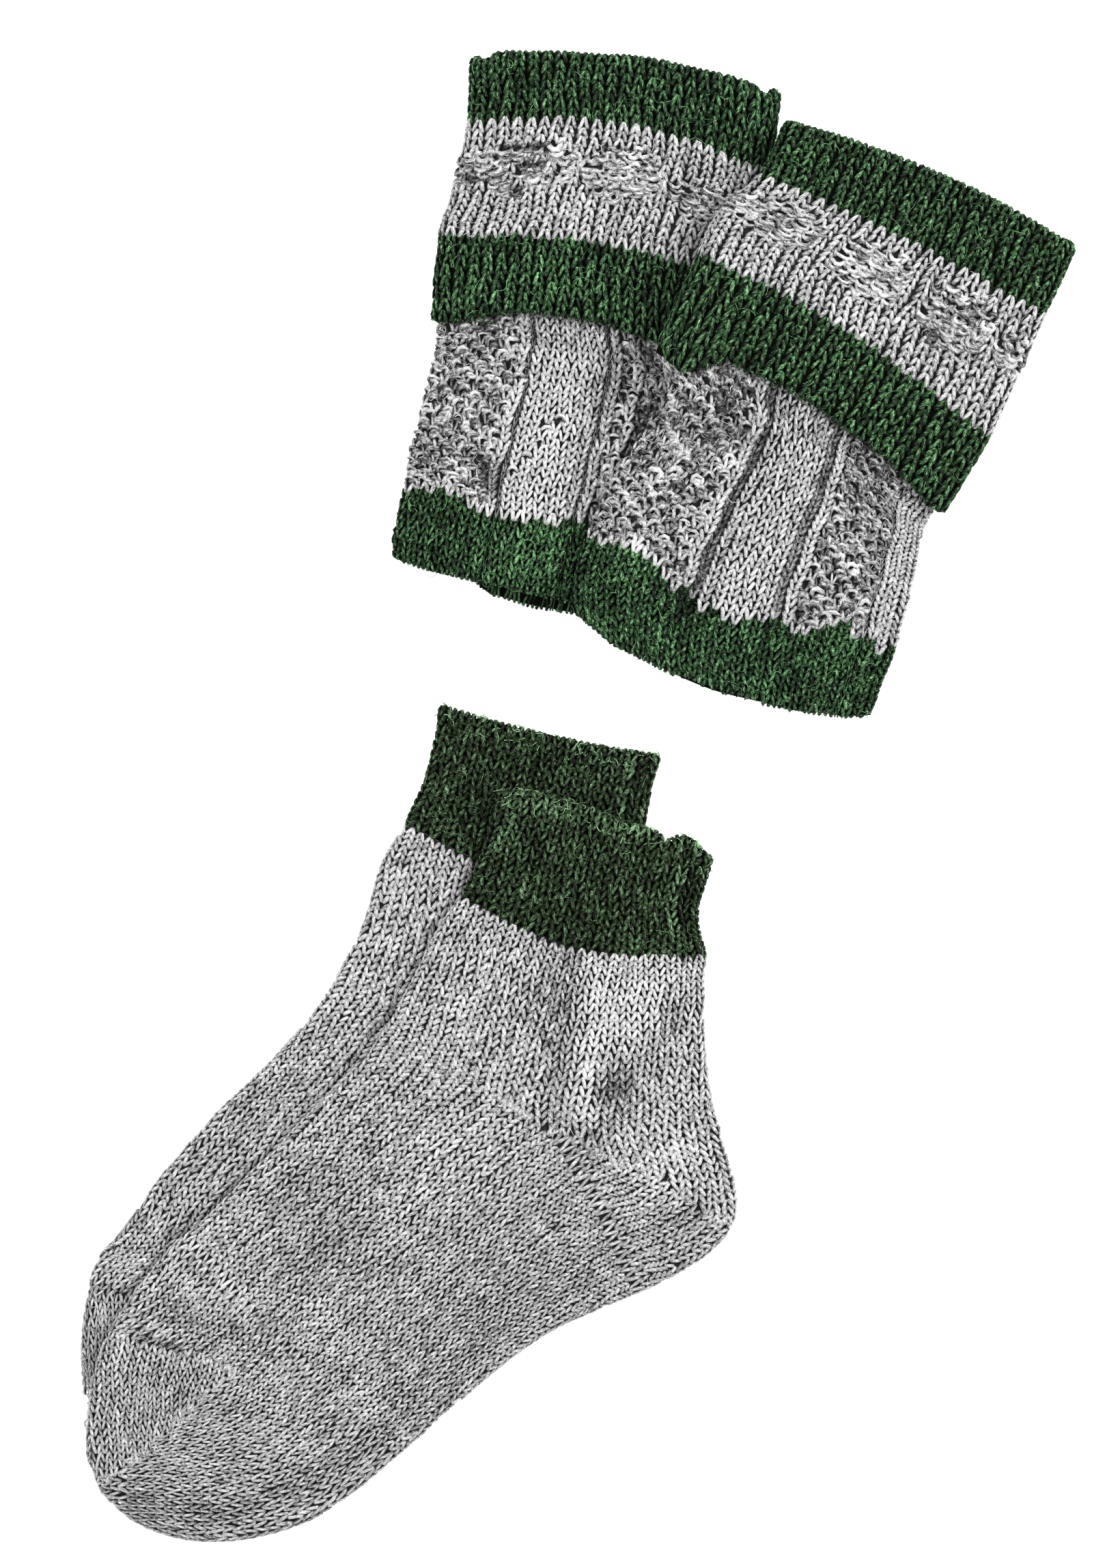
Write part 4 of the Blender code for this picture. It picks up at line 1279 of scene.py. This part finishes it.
def wall_rings(tube, rows, half_in, half_out, free_start=False, free_end=False, hangs=False,
               ribs=False):
    """Rings of a thin wall open at both ends; a free end is rounded, a seamed end is square."""
    last = len(rows) - 1
    outer, inner = [], []
    for k, row in enumerate(rows):
        shift = 0.0
        if k == 0:
            shift = FREE_INSET if free_start else SEAM_SHOWN
        if k == last:
            shift = -FREE_INSET if free_end else -SEAM_SHOWN
        sag = k / last if hangs else 0.0
        outer.append(tube.ring(row, half_out - SKIN, shift, ribs, sag))
        inner.append(tube.ring(row, half_in + SKIN, shift, drop=sag))
    middle = (half_in + half_out) / 2
    rings = list(outer)
    if free_end:
        rings.append(tube.ring(rows[-1], middle, -FREE_INSET / 2, drop=1.0 if hangs else 0.0))
    rings += inner[::-1]
    if free_start:
        rings.append(tube.ring(rows[0], middle, FREE_INSET / 2))
    return rings


def turned_rings(tube, rows):
    """Rings of the turned top: up the outside, over the fold and down inside."""
    middle, radius = (TURN_HALF + INNER_HALF) / 2, (TURN_HALF - INNER_HALF) / 2
    outside, inside = TURN_HALF - SKIN, TURN_INNER_HALF + SKIN
    outer = [tube.ring(rows[-1], outside, -SEAM_SHOWN)]
    outer += [tube.ring(row, outside) for row in rows[-2:0:-1]]
    bend = [tube.ring(rows[0], middle + (radius - SKIN) * math.cos(a),
                      BEND_REACH - (BEND_REACH - SKIN) * math.sin(a))
            for a in np.radians([0, 22, 45, 67, 90, 113, 135, 158, 180])]
    down = [tube.ring(LEG_TOP_ROW, INNER_HALF + SKIN, -1.0),
            tube.ring(LEG_TOP_ROW, TUBE_HALF - SKIN, -1.0)]
    pocket = BEND_REACH + 0.3
    crook = [tube.ring(rows[0], TUBE_HALF - SKIN, pocket), tube.ring(rows[0], inside, pocket)]
    back = [tube.ring(row, inside) for row in rows[1:-1]]
    back.append(tube.ring(rows[-1], inside, -SEAM_SHOWN))
    return outer + bend + down + crook + back


def pocket_rings(tube, rows):
    """Rings of a sock's body: leg, heel, foot and closed toe."""
    def toe(half):
        angles = np.radians([30, 60, 80])
        return [tube.ring(TOE_ROW, half * math.cos(a), half * math.sin(a)) for a in angles]

    shifts = [SEAM_SHOWN] + [0.0] * (len(rows) - 1)
    outer = [tube.ring(row, TUBE_HALF - SKIN, s) for row, s in zip(rows, shifts)]
    inner = [tube.ring(row, INNER_HALF + SKIN, s) for row, s in zip(rows, shifts)]
    return toe(INNER_HALF + SKIN)[::-1] + inner[::-1] + outer + toe(TUBE_HALF - SKIN)


# ---------------------------------------------------------------- garments

def dress(name, cloth):
    """Hides the CAD node, which the cloth shell stands in for; cloth is not used."""
    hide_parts(name)


def yarn_piece(name, material, *groups):
    """The strands of several gatherers as one mesh."""
    gathered = Stitches(None, 1)
    for group in groups:
        gathered.parts += group.parts
    return gathered.make(name, material)


def tube_piece(name, groups, looks, rings):
    """One open stretch of a tube: its stitches, and the cloth that stands for its node."""
    yarn_look, ground = looks
    yarn = yarn_piece(f"{name}_stitches", yarn_look, *groups)
    dress(name, loft(f"{name}_cloth", rings, True, ground))


def facing(tube, side, lattice, covers, tone=0.0, turn=FACE_TURN):
    """A gatherer for one side of a tube, and the stitches of that side that show."""
    lattice = lattice._replace(centre=wandering(lattice.centre))
    if side < 0:
        round_side = smooth((tube.rim(lattice.centre) - ROUND_START) / ROUND_OVER)
        lattice = lattice._replace(lift=UNDERSIDE_LIFT * (1 - round_side))
    else:
        shade = np.zeros(len(lattice.centre))
        for cover in covers:
            outside = np.maximum(outside_of(lattice.centre, cover), 0)
            shade = np.minimum(shade, -COVER_SHADE * np.exp(-(outside / COVER_REACH) ** 2))
        lattice = lattice._replace(tone=lattice.tone + shade)
    return (Stitches(tube, side, tone, coarse=side < 0),
            visible(tube, side, lattice, covers, turn))


def make_sock(label, tube, lattices, covers_top, covers_low):
    """The green cuff, and the grey body with its leg, foot and toe lattices."""
    sides = ((1, covers_top), (-1, covers_low))
    whole = tube_lattice(tube, 0, CUFF_ROW, np.ones(SOCK_CUFF_WALES), CUFF_COURSE, before=1)
    groups = []
    for side, covers in sides:
        stitches, lattice = facing(tube, side, whole, covers)
        knit(stitches, lattice)
        stitches.fibres(lattice, len(lattice.centre) * FIBRES_GREEN)
        mouth = chosen(lattice, lattice.number <= 1)
        # The mouth's hairs are made paler: painted highlight along the rim
        stitches.fibres(mouth, len(mouth.centre) * 1.5, 3.5, 0.13, 0.45)
        groups.append(stitches)
    rings = wall_rings(tube, np.linspace(0, CUFF_ROW, 9), INNER_HALF, TUBE_HALF, free_start=True)
    tube_piece(f"{label}_cuff", groups, (GREEN_DULL, GREEN_SHADE_GROUND), rings)

    for part, whole in lattices.items():
        groups = []
        for side, covers in sides:
            stitches, lattice = facing(tube, side, whole, covers, SOCK_TONES[part])
            first = (lattice.number == 0) & (part == "leg")
            knit(stitches, chosen(lattice, ~first))
            knit(stitches, chosen(lattice, first), lift=0.15, head=1.05)
            stitches.fibres(lattice, len(lattice.centre) * FIBRES_GREY)
            groups.append(stitches)
        yarn_piece(f"{label}_{part}_stitches", GREY, *groups)
    rings = pocket_rings(tube, np.arange(CUFF_ROW, TOE_ROW + 0.01, 0.25))
    cloth = loft(f"{label}_body_cloth", rings, False, GREY_SHADE_GROUND)
    dress(f"{label}_body", cloth)


def nearest_stitches(lattice, places):
    """The stitch nearest to each place given in photo pixels."""
    gaps = np.linalg.norm(lattice.centre[None] - from_photo(places)[:, None], axis=2)
    return np.unique(np.argmin(gaps, axis=1))


def letters(rows, lattice):
    """Read a chart, one string a course or one for all, at the lattice's stitches."""
    rows = [rows] if isinstance(rows, str) else rows
    text = np.array([list(row) for row in rows])
    course = np.clip(lattice.number, 0, len(text) - 1)
    return text[course, np.clip(lattice.column, 0, text.shape[1] - 1)]


# A calf warmer's tables, charts and lines
Warmer = namedtuple("Warmer", "label top leg top_folds leg_folds crown ribs top_waves leg_waves"
                              " hem_drop leg_chart band_chart purl_steps border")


def make_leg_and_hem(plan, tube, cover_top):
    """The grey leg and the green hem, on one lattice that runs on under the turned top."""
    own = [outline_of(plan.top)]
    widths = np.array([NARROW.get(letter, 1.0) for letter in plan.leg_chart])
    leg_groups, hem_groups = [], []
    for side, covers, after, drop, turn in ((1, cover_top + own, 1, None, FACE_TURN),
                                            (-1, own, 4, plan.hem_drop, HEM_TURN)):
        whole = tube_lattice(tube, LEG_TOP_ROW, HEM_END_ROW, widths, LEG_COURSE, after=after,
                             drop=drop)
        stitches, lattice = facing(tube, side, whole, covers, turn=turn)
        first = lattice.column.min()
        ragged = rng.uniform(-0.9, 0.9, lattice.column.max() - first + 1)
        slip = ragged[lattice.column - first][:, None]
        grey = above(lattice.centre + lattice.course * slip, plan.border)
        lattice = lattice._replace(lift=np.where(grey, lattice.lift, lattice.lift * 0.4))
        last = grey & ~above(lattice.centre + lattice.course * (1 + slip), plan.border)
        kinds = letters(plan.leg_chart, lattice)
        if side < 0:
            kinds[:] = "k"
        elif plan.purl_steps:
            kinds[nearest_stitches(lattice, plan.purl_steps)] = "p"
        chart(stitches, chosen(lattice, grey & ~last), kinds[grey & ~last])
        knit(stitches, chosen(lattice, last), 1.05, lift=0.2, foot=1.15)
        stitches.fibres(chosen(lattice, grey), grey.sum() * FIBRES_GREY)
        leg_groups.append(stitches)
        stitches = Stitches(tube, side, coarse=side < 0)
        knit(stitches, chosen(lattice, ~grey))
        stitches.fibres(chosen(lattice, ~grey), (~grey).sum() * FIBRES_GREEN)
        hem_groups.append(stitches)
    rings = wall_rings(tube, np.linspace(LEG_TOP_ROW, HEM_ROW, 31), INNER_HALF, TUBE_HALF,
                       ribs=True)
    tube_piece(f"{plan.label}_leg", leg_groups, (GREY, GREY_SHADE_GROUND), rings)
    rings = wall_rings(tube, np.linspace(HEM_ROW, HEM_END_ROW, 9), INNER_HALF, TUBE_HALF,
                       free_end=True, hangs=True)
    tube_piece(f"{plan.label}_hem", hem_groups, (GREEN, GREEN_SHADE_GROUND), rings)


def make_turned_top(plan, turn, cover_top):
    """The three stretches of the turned top, upside down as they are worn."""
    wales = np.ones(len(plan.band_chart[0]))
    green, grey = (GREEN, GREEN_SHADE_GROUND, FIBRES_GREEN), (GREY, GREY_SHADE_GROUND, FIBRES_GREY)
    for part, first, last, course, before, after, look, cut in (
            ("turn_top", 0, BAND_TOP_ROW, TURN_COURSE, 3, 0, green, TURN_TOP_CUT),
            ("turn_band", BAND_TOP_ROW, BAND_LOW_ROW, BAND_COURSE, 0, 0, grey, BAND_CUT),
            ("turn_edge", BAND_LOW_ROW, EDGE_ROW, TURN_COURSE, 0, 1, green, EDGE_CUT)):
        whole = tube_lattice(turn, first, last, wales, course, before, after)
        band = part == "turn_band"
        groups = []
        for side, covers in ((1, cover_top), (-1, [])):
            stitches, lattice = facing(turn, side, whole, covers)
            kinds = letters(plan.band_chart if band and side > 0 else ".", lattice)
            top = (lattice.number == 0) & band
            low = (lattice.number == lattice.number.max()) & band
            inner = ~(top | low)
            chart(stitches, chosen(lattice, inner), kinds[inner], point_down=False, spread=0.88,
                  size=0.92)
            knit(stitches, chosen(lattice, top), 0.92, False, 0.1, spread=0.88, foot=1.15)
            knit(stitches, chosen(lattice, low), 0.92, False, 0.1, spread=0.88, head=1.0)
            stitches.fibres(lattice, len(lattice.centre) * look[2])
            groups.append(stitches)
        rows = np.linspace(first, last, 9)
        if part == "turn_top":
            rings = turned_rings(turn, rows)
        else:
            rings = wall_rings(turn, rows, TURN_INNER_HALF, TURN_HALF, free_end=not band)
        tube_piece(f"{plan.label}_{part}", groups, look[:2], rings)


def inset_rows(table, distance):
    """The same sections, narrower by a distance at each edge."""
    narrow = []
    for *ends, bow in table:
        left, right = np.array(ends[0:2], float), np.array(ends[2:4], float)
        across = (right - left) / np.linalg.norm(right - left)
        narrow.append((*(left + across * distance), *(right - across * distance), bow))
    return narrow


def free_edge(row, way, inner, outer, drop=LEVEL):
    """The rolled edge of a cloth whose faces lie at these half heights."""
    return End(row, way, RIM, (inner + outer) / 2, WALL / 2, drop)


def make_warmer(plan, supports, cover_top):
    fold = End(0, -1, BEND_REACH, (TURN_HALF + INNER_HALF) / 2, (TURN_HALF - INNER_HALF) / 2)
    free = free_edge(EDGE_ROW, 1, TURN_INNER_HALF, TURN_HALF)
    turn = Tube(plan.top, TURN_HALF, supports, folds=plan.top_folds, crown=plan.crown,
                ends=[fold, free], waves=plan.top_waves)
    own = Support(outline_of(plan.top), TURN_LIFT, TURN_REACH)
    hem = free_edge(HEM_END_ROW, 1, INNER_HALF, TUBE_HALF, plan.hem_drop)
    tube = Tube(inset_rows(plan.top, TURN_LIFT) + plan.leg, TUBE_HALF, supports, own,
                plan.leg_folds, plan.crown, ribs=plan.ribs, relief_start=RELIEF_START,
                ends=[hem], waves=plan.leg_waves, window=LEG_WINDOW)
    make_leg_and_hem(plan, tube, cover_top)
    make_turned_top(plan, turn, cover_top)


# ---------------------------------------------------------------- the set

make_camera()
make_light()
make_floor(floor_material())

GREY = yarn_material("grey_yarn", [(0.0, (0.035, 0.035, 0.035)), (0.40, (0.52, 0.52, 0.52)),
                                   (0.80, (0.98, 0.98, 0.97))], 0.20, (1, 1, 1))
GREEN = yarn_material("green_yarn", [
    (0.0, (0.001, 0.001, 0.001)), (0.33, (0.015, 0.027, 0.014)),
    (0.55, (0.046, 0.120, 0.045)), (0.95, (0.36, 0.76, 0.34))], 0.06, (0.5, 0.8, 0.5))
GREEN_DULL = yarn_material("green_dull_yarn", [
    (0.0, (0.002, 0.002, 0.001)), (0.33, (0.016, 0.021, 0.011)),
    (0.55, (0.042, 0.082, 0.037)), (0.95, (0.31, 0.54, 0.28))], 0.03, (0.5, 0.8, 0.5))
# The grounds are near black: painted shade for the gaps between the stitches
GREY_SHADE_GROUND = cloth_material("grey_shade_ground", (0.008, 0.008, 0.008), (0.06, 0.06, 0.06))
GREEN_SHADE_GROUND = cloth_material("green_shade_ground", (0.001, 0.001, 0.001), (0.006, 0.007, 0.004))

# Cuts laid flat, all round the tube, in metres: width round, length down
TURN_TOP_CUT, BAND_CUT, EDGE_CUT = (0.215, 0.036), (0.215, 0.041), (0.215, 0.030)
SOCK_CUFF_WALES = 17
FIBRES_GREEN, FIBRES_GREY = 0.35, 0.2      # loose hairs a stitch
SOCK_TONES = {"leg": 0.04, "foot": 0.02, "toe": 0.02}
LEG_WINDOW = 0.7        # rows; the legs' tables are fine enough to need smoothing

brims = [free_edge(0, -1, INNER_HALF, TUBE_HALF) for _ in range(2)]
sock_under = Tube(SOCK_UNDER, TUBE_HALF, folds=FOLDS_SOCK_UNDER, crown=CROWN_UNDER, toe=True,
                  ends=brims[:1])
lift = 2 * TUBE_HALF + CROWN_UNDER + STACK_GAP
sock_over = Tube(SOCK_OVER, TUBE_HALF, [Support(outline_of(SOCK_UNDER), lift, SOCK_REACH)],
                 folds=FOLDS_SOCK_OVER, crown=CROWN_OVER, toe=True, ends=brims[1:],
                 waves=WAVES_SOCK_OVER)
lattices = sock_lattices()
make_sock("sock_over", sock_over, lattices, [], [outline_of(SOCK_UNDER)])
beneath = {part: carried(lattice, sock_over, sock_under) for part, lattice in lattices.items()}
make_sock("sock_under", sock_under, beneath, [outline_of(SOCK_OVER)], [])

turn_lift = 2 * TURN_HALF + CROWN_UNDER + STACK_GAP
on_warmer = [Support(outline_of(LEG_UNDER), lift + 1.0, WARMER_REACH),
             Support(outline_of(TOP_UNDER), turn_lift, WARMER_REACH)]
make_warmer(Warmer("warmer_under", TOP_UNDER, LEG_UNDER, FOLDS_TOP_UNDER, FOLDS_LEG_UNDER,
                   CROWN_UNDER, RIBS_UNDER, WAVES_TURN_UNDER, WAVES_LEG_UNDER, HEM_DROP_UNDER,
                   CHART_UNDER, BAND_UNDER, PURL_STEPS, HEM_LINE_UNDER),
            [], [outline_of(LEG_OVER), outline_of(TOP_OVER)])
make_warmer(Warmer("warmer_over", TOP_OVER, LEG_OVER, FOLDS_TOP_OVER, FOLDS_LEG_OVER,
                   CROWN_OVER, RIBS_OVER, WAVES_TURN_OVER, WAVES_LEG_OVER, HEM_DROP_OVER,
                   CHART_OVER, BAND_OVER, [], HEM_LINE_OVER),
            on_warmer, [])
